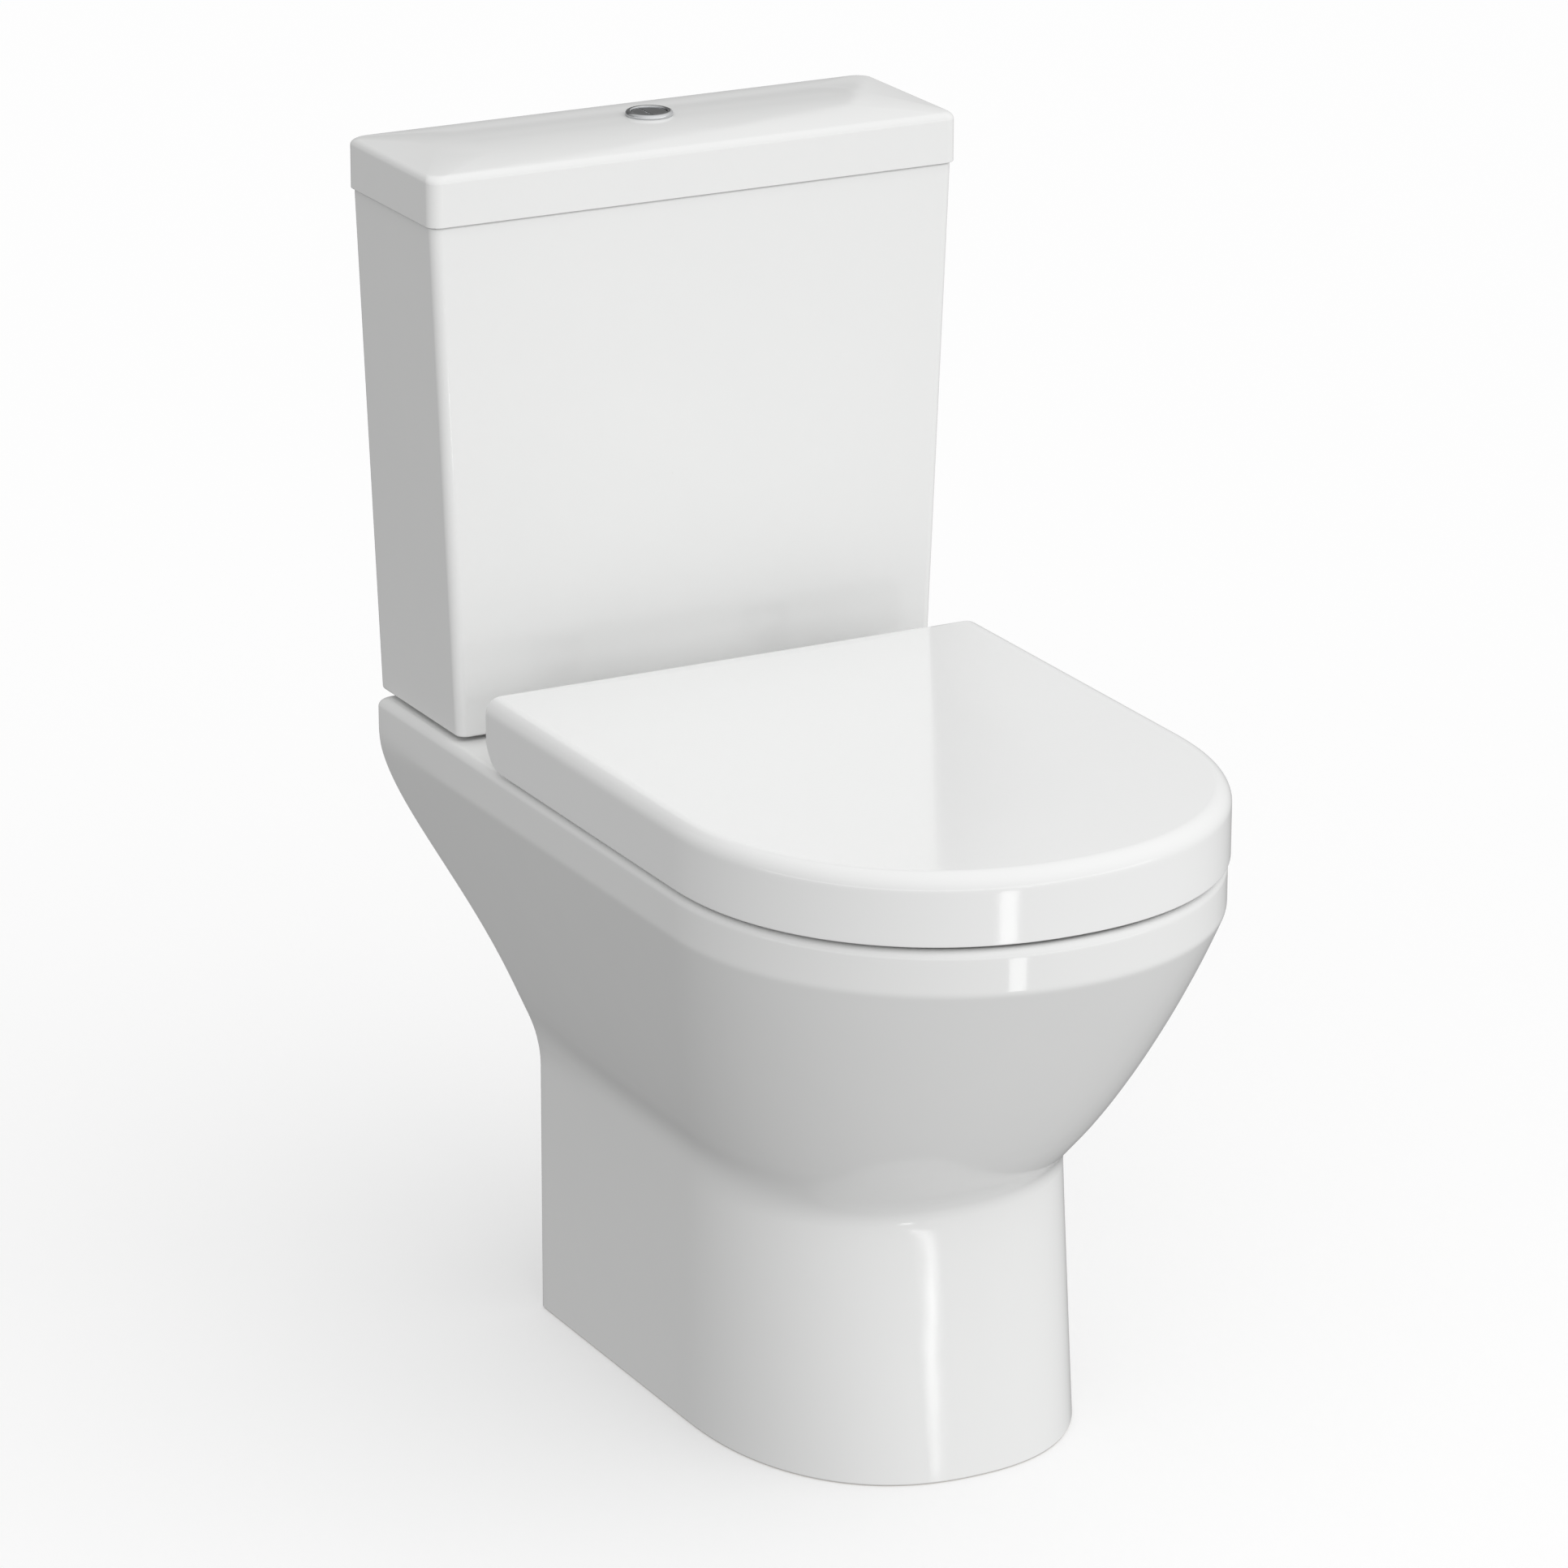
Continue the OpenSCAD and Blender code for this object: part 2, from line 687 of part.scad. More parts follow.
module flush_rocker() {
  color("white") difference() {
    union() {
      rocker(full_x, 31);
      axle(full_x - 3.5, full_x + 3.5, rocker_y, rocker_z, 3.5);
    }
    axle(full_x - 5, full_x + 5, rocker_y, rocker_z, 1.56);
    slab(full_x - 2.1, full_x + 2.1, link_y - 4.6, link_y + 4, rocker_z - 3, rocker_z + 3);
  }
}

module half_latch() {
  color("white") difference() {
    union() {
      rocker(half_x, 14);
      axle(half_x - 3.5, half_x + 3.5, rocker_y, rocker_z, 3.5);
    }
    axle(half_x - 5, half_x + 5, rocker_y, rocker_z, 1.56);
  }
}

/* Push button */

module button_bezel() {
  z0 = lid_top - 37;
  color("silver") difference() {
    union() {
      rod(0, button_y, z0, lid_top, sleeve_r);
      rod(0, button_y, lid_top, lid_top + bezel_h - 1, bezel_r);
      translate([0, button_y, lid_top + bezel_h - 1])
        cylinder(r1 = bezel_r, r2 = bezel_r - 1.2, h = 1);
    }
    rod(0, button_y, web_z, lid_top + bezel_h + 1, button_r + 0.3);
    rod(0, button_y, z0 - 1, web_z - 3, button_r + 0.3);
    rod(full_x, button_y, web_z - 4, web_z + 1, 3.1);
    rod(half_x, button_y, web_z - 4, web_z + 1, 3.1);
  }
}

module bezel_nut() {
  color("whitesmoke") ring(0, button_y, lid_top - lid_t - 7, lid_top - lid_t, sleeve_r + 6, sleeve_r);
}

module button_half(x, x0, x1) {
  color("silver") {
    intersection() {
      rod(0, button_y, button_top - 2.6, button_top, button_r);
      slab(x0, x1, button_y - 20, button_y + 20, button_top - 4, button_top + 1);
    }
    rod(x, button_y, stem_end, button_top - 2.6, 3);
  }
}

module full_button() {
  button_half(full_x, -1.4, 20);
}

module half_button() {
  button_half(half_x, -20, -1.8);
}

// Round wire wound from z0 to z1
module coil(x, z0, z1, r, wire, turns) {
  n = 16;
  last = n * turns;
  rise_z = z1 - z0 - 2 * wire;
  points = [for (i = [0:last], j = [0:5])
    let (a = 360 * i / n, b = 60 * j, p = r + wire * cos(b))
    [x + p * cos(a), button_y + p * sin(a), z0 + wire + rise_z * i / last + wire * sin(b)]];
  sides = [for (i = [0:last - 1], j = [0:5]) let (k = (j + 1) % 6, a = i * 6, b = a + 6)
    each [[a + j, a + k, b + k], [a + j, b + k, b + j]]];
  polyhedron(points = points, faces = concat([[0, 5, 4, 3, 2, 1]],
    sides, [[for (j = [0:5]) last * 6 + j]]), convexity = 10);
}

module full_spring() {
  color("silver") coil(full_x, web_z, button_top - 2.6, 4, 0.5, 6);
}

module half_spring() {
  color("silver") coil(half_x, web_z, button_top - 2.6, 4, 0.5, 6);
}

module full_rod() {
  color("white") rod(full_x, button_y, rocker_z + 2.8, stem_end, 2);
}

module half_rod() {
  color("white") rod(half_x, button_y, rocker_z + 2.8, stem_end, 2);
}

/* Fill valve */

module fill_shank() {
  color("white") difference() {
    union() {
      rod(-fill_x, valve_y, fill_nut_z - fill_tail, fill_nut_z, fill_r);
      rod(-fill_x, valve_y, fill_nut_z, valve_z + 6, fill_r - 0.3);
      rod(-fill_x, valve_y, valve_z, valve_z + 4, fill_r + 6);
    }
    rod(-fill_x, valve_y, fill_nut_z - fill_tail - 1, valve_z + 7, 6);
  }
}

module fill_seal() {
  color("dimgray") ring(-fill_x, valve_y, tank_in_z, valve_z, fill_r + 5, fill_r - 0.3);
}

module fill_nut() {
  color("whitesmoke") ring(-fill_x, valve_y, fill_nut_z, tank_z, fill_r + 6, fill_r - 0.3);
}

module fill_riser() {
  color("white") ring(-fill_x, valve_y, valve_z + 6, head_z, 9, 6);
}

module fill_head() {
  color("royalblue") difference() {
    union() {
      rod(-fill_x, valve_y, head_z, head_z + 28, 17);
      slab(-fill_x - 12, -fill_x - 4, valve_y - 6, valve_y - 3.4, head_z + 28, lever_z + 4);
      slab(-fill_x - 12, -fill_x - 4, valve_y + 3.4, valve_y + 6, head_z + 28, lever_z + 4);
    }
    lever_axle(1.5);
    axle(-fill_x + 12, -fill_x + 20, valve_y - 11, head_z + 14, 3);
  }
}

module fill_cap() {
  color("white") rod(-fill_x + 7, valve_y, head_z + 28, head_z + 34, 8);
}

module fill_float() {
  color("gainsboro") difference() {
    union() {
      rod(-fill_x, valve_y, float_z, float_z + 60, 24);
      slab(-fill_x, rod_x + 4, valve_y - 4, valve_y + 4, float_z + 52, float_z + 60);
    }
    rod(-fill_x, valve_y, float_z - 1, float_z + 61, 10);
    rod(rod_x, valve_y, float_z + 51, float_z + 61, 2);
  }
}

module float_rod() {
  color("silver") rod(rod_x, valve_y, float_z + 52, lever_z - 3, 2);
}

module fill_lever() {
  color("white") difference() {
    union() {
      slab(-fill_x - 8, rod_x + 4, valve_y - 3, valve_y + 3, lever_z - 2, lever_z + 2);
      translate([-fill_x - 8, valve_y + 3, lever_z]) rotate([90, 0, 0]) cylinder(r = 3.2, h = 6);
    }
    lever_axle(1.56);
  }
}

module lever_axle(r) {
  translate([-fill_x - 8, valve_y + 7, lever_z]) rotate([90, 0, 0]) cylinder(r = r, h = 14);
}

module lever_pin() {
  color("silver") lever_axle(1.5);
}

module refill_tube() {
  z = head_z + 14;
  y = valve_y - 11;
  top = tube_top + tube_lift + 6;
  color("gainsboro") {
    translate([-fill_x + 12, y, z]) rotate([0, 90, 0]) cylinder(r = 3, h = 30);
    rod(-fill_x + 42, y, z, top, 3);
    translate([-fill_x + 42, y, z]) sphere(r = 3);
    translate([-fill_x + 42, y, top]) sphere(r = 3);
    translate([-fill_x + 42, y, top]) rotate([0, 90, 0]) cylinder(r = 3, h = fill_x - 48);
    translate([-6, y, top]) sphere(r = 3);
    rod(-6, y, tube_top + tube_lift + 2, top, 3);
  }
}

pan();
cistern();
cistern_lid();
lid_pads();
cover();
cover_buffers();
seat_ring();
seat_buffers();
hinge_posts();
hinge_pins();
hinge_dampers();
hinge_studs();
hinge_cones();
hinge_wing_nuts();
gasket();
foam_strips();
coupling_bolts();
coupling_seals();
coupling_washers();
coupling_wing_nuts();
valve_base();
valve_base_seal();
valve_back_nut();
valve_cage();
overflow_tube();
valve_seal();
lift_collar();
lift_link();
valve_bridge();
rocker_pin();
flush_rocker();
half_latch();
button_bezel();
bezel_nut();
full_button();
half_button();
full_spring();
half_spring();
full_rod();
half_rod();
fill_shank();
fill_seal();
fill_nut();
fill_riser();
fill_head();
fill_cap();
fill_float();
float_rod();
fill_lever();
lever_pin();
refill_tube();
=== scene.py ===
import json
import math

import bpy
import numpy as np
from mathutils import Matrix, Vector


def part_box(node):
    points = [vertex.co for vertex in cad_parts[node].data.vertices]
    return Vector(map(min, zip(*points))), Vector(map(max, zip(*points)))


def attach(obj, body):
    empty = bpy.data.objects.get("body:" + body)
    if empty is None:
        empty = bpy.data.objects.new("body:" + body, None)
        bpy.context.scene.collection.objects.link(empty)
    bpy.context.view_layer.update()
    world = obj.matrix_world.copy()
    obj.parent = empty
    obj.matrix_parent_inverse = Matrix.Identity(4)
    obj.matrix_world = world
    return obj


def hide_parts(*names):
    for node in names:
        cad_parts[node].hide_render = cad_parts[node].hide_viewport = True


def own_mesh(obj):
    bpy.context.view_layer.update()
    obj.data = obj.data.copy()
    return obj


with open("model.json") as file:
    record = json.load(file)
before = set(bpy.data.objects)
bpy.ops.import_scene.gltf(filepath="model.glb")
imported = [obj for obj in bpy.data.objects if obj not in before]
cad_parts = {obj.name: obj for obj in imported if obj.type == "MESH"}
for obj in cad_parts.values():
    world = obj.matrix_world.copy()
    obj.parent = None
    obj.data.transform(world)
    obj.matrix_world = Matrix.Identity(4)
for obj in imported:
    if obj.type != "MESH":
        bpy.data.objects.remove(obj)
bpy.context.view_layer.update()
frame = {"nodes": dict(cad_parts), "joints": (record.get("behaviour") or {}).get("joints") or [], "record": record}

slotOf = {row["node"]: row["material_slot"] for row in frame["record"]["subparts"]}
bodyOf = {node: body for body, nodes in frame["record"]["behaviour"]["bodies"].items() for node in nodes}
jointOf = {joint["name"]: joint for joint in frame["joints"]}


# Node trees

def feed(tree, socket, value):
    if isinstance(value, bpy.types.NodeSocket):
        tree.links.new(value, socket)
    else:
        socket.default_value = value


def addNode(tree, kind, **values):
    node = tree.nodes.new(kind)
    sockets = values.pop("sockets", {})
    for name, value in values.items():
        setattr(node, name, value)
    for name, value in sockets.items():
        feed(tree, node.inputs[name], value)
    return node


def mathNode(tree, operation, a, b=0.5, clamp=False):
    node = addNode(tree, "ShaderNodeMath", operation=operation, use_clamp=clamp, sockets={0: a, 1: b})
    return node.outputs[0]


def times(tree, a, b):
    return mathNode(tree, "MULTIPLY", a, b)


def plus(tree, a, b, clamp=False):
    return mathNode(tree, "ADD", a, b, clamp)


def minus(tree, a, b):
    return mathNode(tree, "SUBTRACT", a, b)


def stretch(tree, value, fromLow, fromHigh, toLow=0.0, toHigh=1.0):
    node = addNode(tree, "ShaderNodeMapRange", interpolation_type="SMOOTHSTEP", sockets={
        "Value": value, "From Min": fromLow, "From Max": fromHigh, "To Min": toLow, "To Max": toHigh})
    return node.outputs["Result"]


def stretchStraight(tree, value, fromLow, fromHigh):
    node = addNode(tree, "ShaderNodeMapRange", sockets={
        "Value": value, "From Min": fromLow, "From Max": fromHigh})
    return node.outputs["Result"]


def noise(tree, vector, scale, detail=2.0, roughness=0.5):
    node = addNode(tree, "ShaderNodeTexNoise", sockets={
        "Vector": vector, "Scale": scale, "Detail": detail, "Roughness": roughness})
    return node.outputs["Fac"]


def mixColour(tree, factor, a, b, blend="MIX"):
    node = addNode(tree, "ShaderNodeMix", data_type="RGBA", blend_type=blend)
    for name, value in (("Factor", factor), (6, a), (7, b)):
        feed(tree, node.inputs[name], value)
    return node.outputs[2]


def newGroup(name, inputs, outputs):
    group = bpy.data.node_groups.new(name, "ShaderNodeTree")
    for label, kind, default in inputs:
        socket = group.interface.new_socket(label, in_out="INPUT", socket_type="NodeSocket" + kind)
        if default is not None:
            socket.default_value = default
    for label, kind in outputs:
        group.interface.new_socket(label, in_out="OUTPUT", socket_type="NodeSocket" + kind)
    return group, group.nodes.new("NodeGroupInput").outputs, group.nodes.new("NodeGroupOutput").inputs


def toneDriftGroup():
    # slow change of shade across a surface, with a slight warm and cool shift
    group, given, out = newGroup("toneDrift", [
        ("Vector", "Vector", None), ("Colour", "Color", (0.8, 0.8, 0.8, 1)), ("Amount", "Float", 0.03),
        ("Scale", "Float", 9.0)], [("Colour", "Color")])
    broad = noise(group, given["Vector"], given["Scale"], 3.0)
    fine = noise(group, given["Vector"], times(group, given["Scale"], 7.3), 2.0)
    both = plus(group, times(group, broad, 0.7), times(group, fine, 0.3))
    drift = times(group, minus(group, both, 0.5), given["Amount"])
    shade = plus(group, times(group, drift, 2.0), 1.0)
    warm = addNode(group, "ShaderNodeCombineColor", sockets={
        "Red": plus(group, shade, times(group, drift, 0.2)), "Green": shade,
        "Blue": minus(group, shade, times(group, drift, 0.35))}).outputs[0]
    group.links.new(mixColour(group, 1.0, given["Colour"], warm, "MULTIPLY"), out["Colour"])
    return group


def glazeSkinGroup():
    # long waves of a poured glaze, faint orange peel and a few pinholes
    group, given, out = newGroup("glazeSkin", [
        ("Vector", "Vector", None), ("Waves", "Float", 14.0), ("Peel", "Float", 260.0),
        ("Pinholes", "Float", 0.5)], [("Height", "Float"), ("Pinholes", "Float"), ("Gloss", "Float")])
    waves = noise(group, given["Vector"], given["Waves"], 2.0, 0.4)
    peel = noise(group, given["Vector"], given["Peel"], 1.0, 0.5)
    cells = addNode(group, "ShaderNodeTexVoronoi", sockets={"Vector": given["Vector"], "Scale": 55.0})
    pit = stretch(group, cells.outputs["Distance"], 0.018, 0.03, 1.0, 0.0)
    chance = addNode(group, "ShaderNodeSeparateColor", sockets={"Color": cells.outputs["Color"]}).outputs[0]
    chosen = mathNode(group, "GREATER_THAN", chance, minus(group, 1.0, times(group, given["Pinholes"], 0.06)))
    pits = times(group, pit, chosen)
    height = plus(group, waves, times(group, peel, 0.015))
    group.links.new(minus(group, height, times(group, pits, 0.1)), out["Height"])
    group.links.new(pits, out["Pinholes"])
    group.links.new(stretch(group, noise(group, given["Vector"], 22.0, 3.0), 0.3, 0.75), out["Gloss"])
    return group


def mouldGrainGroup():
    # fine spark texture and faint flow lines of a moulded piece
    group, given, out = newGroup("mouldGrain", [
        ("Vector", "Vector", None), ("Scale", "Float", 900.0), ("Flow", "Float", 0.3)],
        [("Height", "Float"), ("Flow", "Float")])
    grain = noise(group, given["Vector"], given["Scale"], 2.0, 0.6)
    bent = addNode(group, "ShaderNodeMapping", sockets={"Vector": given["Vector"], "Scale": (1.0, 1.0, 0.18)})
    flow = noise(group, bent.outputs[0], 60.0, 4.0, 0.65)
    group.links.new(plus(group, grain, times(group, flow, given["Flow"])), out["Height"])
    group.links.new(stretch(group, flow, 0.35, 0.7), out["Flow"])
    return group


def fineScratchGroup():
    # hair scratches in three directions that cleaning leaves
    group, given, out = newGroup("fineScratch", [
        ("Vector", "Vector", None), ("Scale", "Float", 40.0), ("Amount", "Float", 0.3)],
        [("Scratches", "Float")])
    total = None
    for turn in ((0.2, 0.1, 0.5), (0.9, 0.4, 2.1), (-0.5, 1.1, 3.9)):
        laid = addNode(group, "ShaderNodeMapping", sockets={
            "Vector": given["Vector"], "Rotation": turn, "Scale": (14.0, 0.35, 9.0)})
        lines = noise(group, laid.outputs[0], given["Scale"], 1.0, 0.5)
        thin = stretch(group, lines, 0.72, 0.8)
        total = thin if total is None else mathNode(group, "MAXIMUM", total, thin)
    patchy = stretch(group, noise(group, given["Vector"], 8.0, 2.0), 0.45, 0.7)
    group.links.new(times(group, times(group, total, patchy), given["Amount"]),
                    out["Scratches"])
    return group


def settledDustGroup():
    # a thin film on faces that look up in the piece's own frame, thicker in patches
    group, given, out = newGroup("settledDust", [
        ("Vector", "Vector", None), ("Normal", "Vector", None), ("Amount", "Float", 0.2)],
        [("Dust", "Float")])
    up = addNode(group, "ShaderNodeSeparateXYZ", sockets={"Vector": given["Normal"]}).outputs["Z"]
    facing = stretch(group, up, 0.2, 0.95)
    patches = stretch(group, noise(group, given["Vector"], 18.0, 5.0, 0.65), 0.35, 0.75)
    group.links.new(times(group, times(group, facing, patches), given["Amount"]),
                    out["Dust"])
    return group


groups = {made.name: made for made in (
    toneDriftGroup(), glazeSkinGroup(), mouldGrainGroup(), fineScratchGroup(), settledDustGroup())}
print("node groups:", ", ".join(sorted(groups)))


def place(tree, name, **sockets):
    node = addNode(tree, "ShaderNodeGroup", node_tree=groups[name])
    for label, value in sockets.items():
        feed(tree, node.inputs[label], value)
    return node.outputs


def startMaterial(name, roughness, **fixed):
    material = bpy.data.materials.new(name)
    material.use_nodes = True
    tree = material.node_tree
    shader = tree.nodes["Principled BSDF"]
    shader.inputs["Roughness"].default_value = roughness
    for label, value in fixed.items():
        shader.inputs[label.replace("_", " ")].default_value = value
    spot = addNode(tree, "ShaderNodeTexCoord")
    return material, tree, shader, spot.outputs["Object"], spot.outputs["Normal"]


def wear(tree, shader, colour, roughness, height, strength, distance):
    tree.links.new(colour, shader.inputs["Base Color"])
    tree.links.new(roughness, shader.inputs["Roughness"])
    bump = addNode(tree, "ShaderNodeBump", sockets={
        "Height": height, "Strength": strength, "Distance": distance})
    tree.links.new(bump.outputs[0], shader.inputs["Normal"])


# Finishes

chinaLook = {
    "glaze": (0.865, 0.868, 0.862, 1),
    "bareClay": (0.62, 0.575, 0.50, 1),  # unglazed foot
    "roughness": 0.07,
    "footLine": 0.0009,  # height up to which the foot was wiped clean of glaze
}


def chinaMaterial():
    material, tree, shader, spot, normal = startMaterial("glazedChina", 0.07, IOR=1.52)
    tone = place(tree, "toneDrift", Vector=spot, Colour=chinaLook["glaze"], Amount=0.012, Scale=6.0)["Colour"]
    skin = place(tree, "glazeSkin", Vector=spot)
    dust = place(tree, "settledDust", Vector=spot, Normal=normal, Amount=0.10)["Dust"]
    height = addNode(tree, "ShaderNodeSeparateXYZ", sockets={"Vector": spot}).outputs["Z"]
    foot = stretch(tree, height, chinaLook["footLine"], chinaLook["footLine"] * 0.4)
    speckle = stretch(tree, noise(tree, spot, 420.0, 4.0, 0.7), 0.55, 0.75)
    clay = mixColour(tree, speckle, chinaLook["bareClay"], (0.45, 0.40, 0.34, 1))
    pitted = mixColour(tree, times(tree, skin["Pinholes"], 0.35), tone, (0.5, 0.48, 0.44, 1))
    filmed = mixColour(tree, times(tree, dust, 0.15), pitted, (0.78, 0.77, 0.74, 1))
    gloss = plus(tree, times(tree, skin["Gloss"], 0.03), chinaLook["roughness"])
    dulled = plus(tree, gloss, times(tree, dust, 0.25))
    rough = mathNode(tree, "MAXIMUM", dulled, times(tree, foot, 0.85))
    wear(tree, shader, mixColour(tree, foot, filmed, clay), rough, skin["Height"], 0.16, 0.0016)
    return material


seatLook = {"colour": (0.895, 0.898, 0.894, 1), "roughness": 0.10}


def seatMaterial():
    material, tree, shader, spot, normal = startMaterial("seatPlastic", 0.13, IOR=1.5, Coat_Weight=0.15)
    tone = place(tree, "toneDrift", Vector=spot, Colour=seatLook["colour"], Amount=0.008, Scale=5.0)["Colour"]
    grain = place(tree, "mouldGrain", Vector=spot, Scale=700.0, Flow=0.5)
    marks = place(tree, "fineScratch", Vector=spot, Amount=0.35)["Scratches"]
    dust = place(tree, "settledDust", Vector=spot, Normal=normal, Amount=0.12)["Dust"]
    filmed = mixColour(tree, times(tree, dust, 0.14), tone, (0.79, 0.78, 0.76, 1))
    rough = plus(tree, times(tree, mathNode(tree, "MAXIMUM", marks, dust), 0.22), seatLook["roughness"])
    deep = minus(tree, grain["Height"], times(tree, marks, 0.4))
    wear(tree, shader, filmed, rough, deep, 0.05, 0.0006)
    return material


# colour, roughness, grain scale, how much light passes into it
plasticLook = {
    "white_plastic": ((0.82, 0.82, 0.80, 1), 0.38, 1100.0, 0.05),
    "blue_plastic": ((0.035, 0.12, 0.40, 1), 0.36, 1200.0, 0.0),
    "grey_plastic": ((0.34, 0.35, 0.37, 1), 0.42, 1000.0, 0.0),
    "dark_plastic": ((0.018, 0.018, 0.021, 1), 0.45, 1400.0, 0.0),
    "clear_hose": ((0.72, 0.76, 0.77, 1), 0.24, 500.0, 0.35),
}


def plasticMaterial(slot):
    colour, roughness, scale, depth = plasticLook[slot]
    material, tree, shader, spot, normal = startMaterial(slot, roughness, Subsurface_Weight=depth)
    shader.inputs["Subsurface Radius"].default_value = (0.004, 0.004, 0.004)
    shader.inputs["Subsurface Scale"].default_value = 0.5
    tone = place(tree, "toneDrift", Vector=spot, Colour=colour, Amount=0.06, Scale=30.0)["Colour"]
    grain = place(tree, "mouldGrain", Vector=spot, Scale=scale, Flow=0.4)
    marks = place(tree, "fineScratch", Vector=spot, Amount=0.6, Scale=60.0)["Scratches"]
    dust = place(tree, "settledDust", Vector=spot, Normal=normal, Amount=0.3)["Dust"]
    scuffed = mixColour(tree, times(tree, marks, 0.3), tone, (0.7, 0.7, 0.7, 1))
    filmed = mixColour(tree, times(tree, dust, 0.35), scuffed, (0.6, 0.58, 0.54, 1))
    rough = plus(tree, times(tree, grain["Flow"], 0.1), roughness)
    wear(tree, shader, filmed, plus(tree, rough, times(tree, dust, 0.3), clamp=True),
         grain["Height"], 0.22, 0.0004)
    return material


rubberLook = {
    "black_rubber": (0.014, 0.014, 0.015, 1),
    "pale_rubber": (0.66, 0.66, 0.63, 1),
    "red_rubber": (0.28, 0.022, 0.018, 1),
}


def rubberMaterial(slot):
    material, tree, shader, spot, normal = startMaterial(slot, 0.6, Specular_IOR_Level=0.35)
    tone = place(tree, "toneDrift", Vector=spot, Colour=rubberLook[slot], Amount=0.12, Scale=45.0)["Colour"]
    grain = place(tree, "mouldGrain", Vector=spot, Scale=1700.0, Flow=0.15)
    dust = place(tree, "settledDust", Vector=spot, Normal=normal, Amount=0.45)["Dust"]
    bloom = stretch(tree, noise(tree, spot, 90.0, 5.0, 0.7), 0.5, 0.8)
    chalked = mixColour(tree, times(tree, bloom, 0.12), tone, (0.55, 0.54, 0.52, 1))
    filmed = mixColour(tree, times(tree, dust, 0.4), chalked, (0.5, 0.48, 0.44, 1))
    wear(tree, shader, filmed, plus(tree, times(tree, bloom, 0.2), 0.55),
         grain["Height"], 0.35, 0.0005)
    return material


# colour, roughness, turning marks, tarnish colour and its share
metalLook = {
    "chrome": ((0.55, 0.556, 0.565, 1), 0.06, 0.05, (0.42, 0.43, 0.45, 1), 0.10),
    "steel": ((0.50, 0.51, 0.52, 1), 0.30, 0.5, (0.38, 0.37, 0.34, 1), 0.35),
    "brass": ((0.62, 0.42, 0.16, 1), 0.26, 0.6, (0.30, 0.19, 0.08, 1), 0.45),
}


def metalMaterial(slot):
    colour, roughness, turned, tarnish, share = metalLook[slot]
    material, tree, shader, spot, normal = startMaterial(slot, roughness, Metallic=1.0)
    tone = place(tree, "toneDrift", Vector=spot, Colour=colour, Amount=0.05, Scale=40.0)["Colour"]
    marks = place(tree, "fineScratch", Vector=spot, Amount=0.8, Scale=90.0)["Scratches"]
    dust = place(tree, "settledDust", Vector=spot, Normal=normal, Amount=0.15)["Dust"]
    stains = stretch(tree, noise(tree, spot, 130.0, 6.0, 0.7), 0.5, 0.72)
    dulled = mixColour(tree, times(tree, stains, share), tone, tarnish)
    filmed = mixColour(tree, times(tree, dust, 0.3), dulled, (0.5, 0.49, 0.46, 1))
    squeezed = addNode(tree, "ShaderNodeMapping", sockets={"Vector": spot, "Scale": (1.0, 1.0, 30.0)})
    rings = noise(tree, squeezed.outputs[0], 60.0, 2.0, 0.5)
    rough = plus(tree, times(tree, mathNode(tree, "MAXIMUM", marks, stains), 0.16),
                     roughness)
    wear(tree, shader, filmed, plus(tree, rough, times(tree, dust, 0.3), clamp=True),
         minus(tree, times(tree, rings, turned), marks), 0.12, 0.0003)
    return material


finishes = {"china": chinaMaterial(), "seat_plastic": seatMaterial()}
finishes.update({slot: plasticMaterial(slot) for slot in plasticLook})
finishes.update({slot: rubberMaterial(slot) for slot in rubberLook})
finishes.update({slot: metalMaterial(slot) for slot in metalLook})
print("finishes:", len(finishes))


# Mesh tools

def meshObject(name, points, faces):
    mesh = bpy.data.meshes.new(name)
    mesh.from_pydata([tuple(map(float, point)) for point in points], [], faces)
    mesh.update()
    made = bpy.data.objects.new(name, mesh)
    bpy.context.scene.collection.objects.link(made)
    return made


def loft(name, rings, capped=True):
    # rings run counter-clockwise seen from above, from the bottom up
    count = len(rings[0])
    faces = []
    for level in range(len(rings) - 1):
        a, b = level * count, (level + 1) * count
        faces += [(a + i, a + (i + 1) % count, b + (i + 1) % count, b + i) for i in range(count)]
    if capped:
        top = (len(rings) - 1) * count
        faces += [tuple(reversed(range(count))), tuple(range(top, top + count))]
    return meshObject(name, np.concatenate(rings), faces)


def ringBand(name, sections):
    # closed tube: each section is a closed outline, and the last joins the first
    count, total = len(sections[0]), len(sections)
    faces = []
    for k in range(total):
        a, b = k * count, (k + 1) % total * count
        faces += [(a + i, b + i, b + (i + 1) % count, a + (i + 1) % count) for i in range(count)]
    return meshObject(name, np.concatenate(sections), faces)


def atHeight(outline, z):
    return np.column_stack([outline, np.full(len(outline), z)])


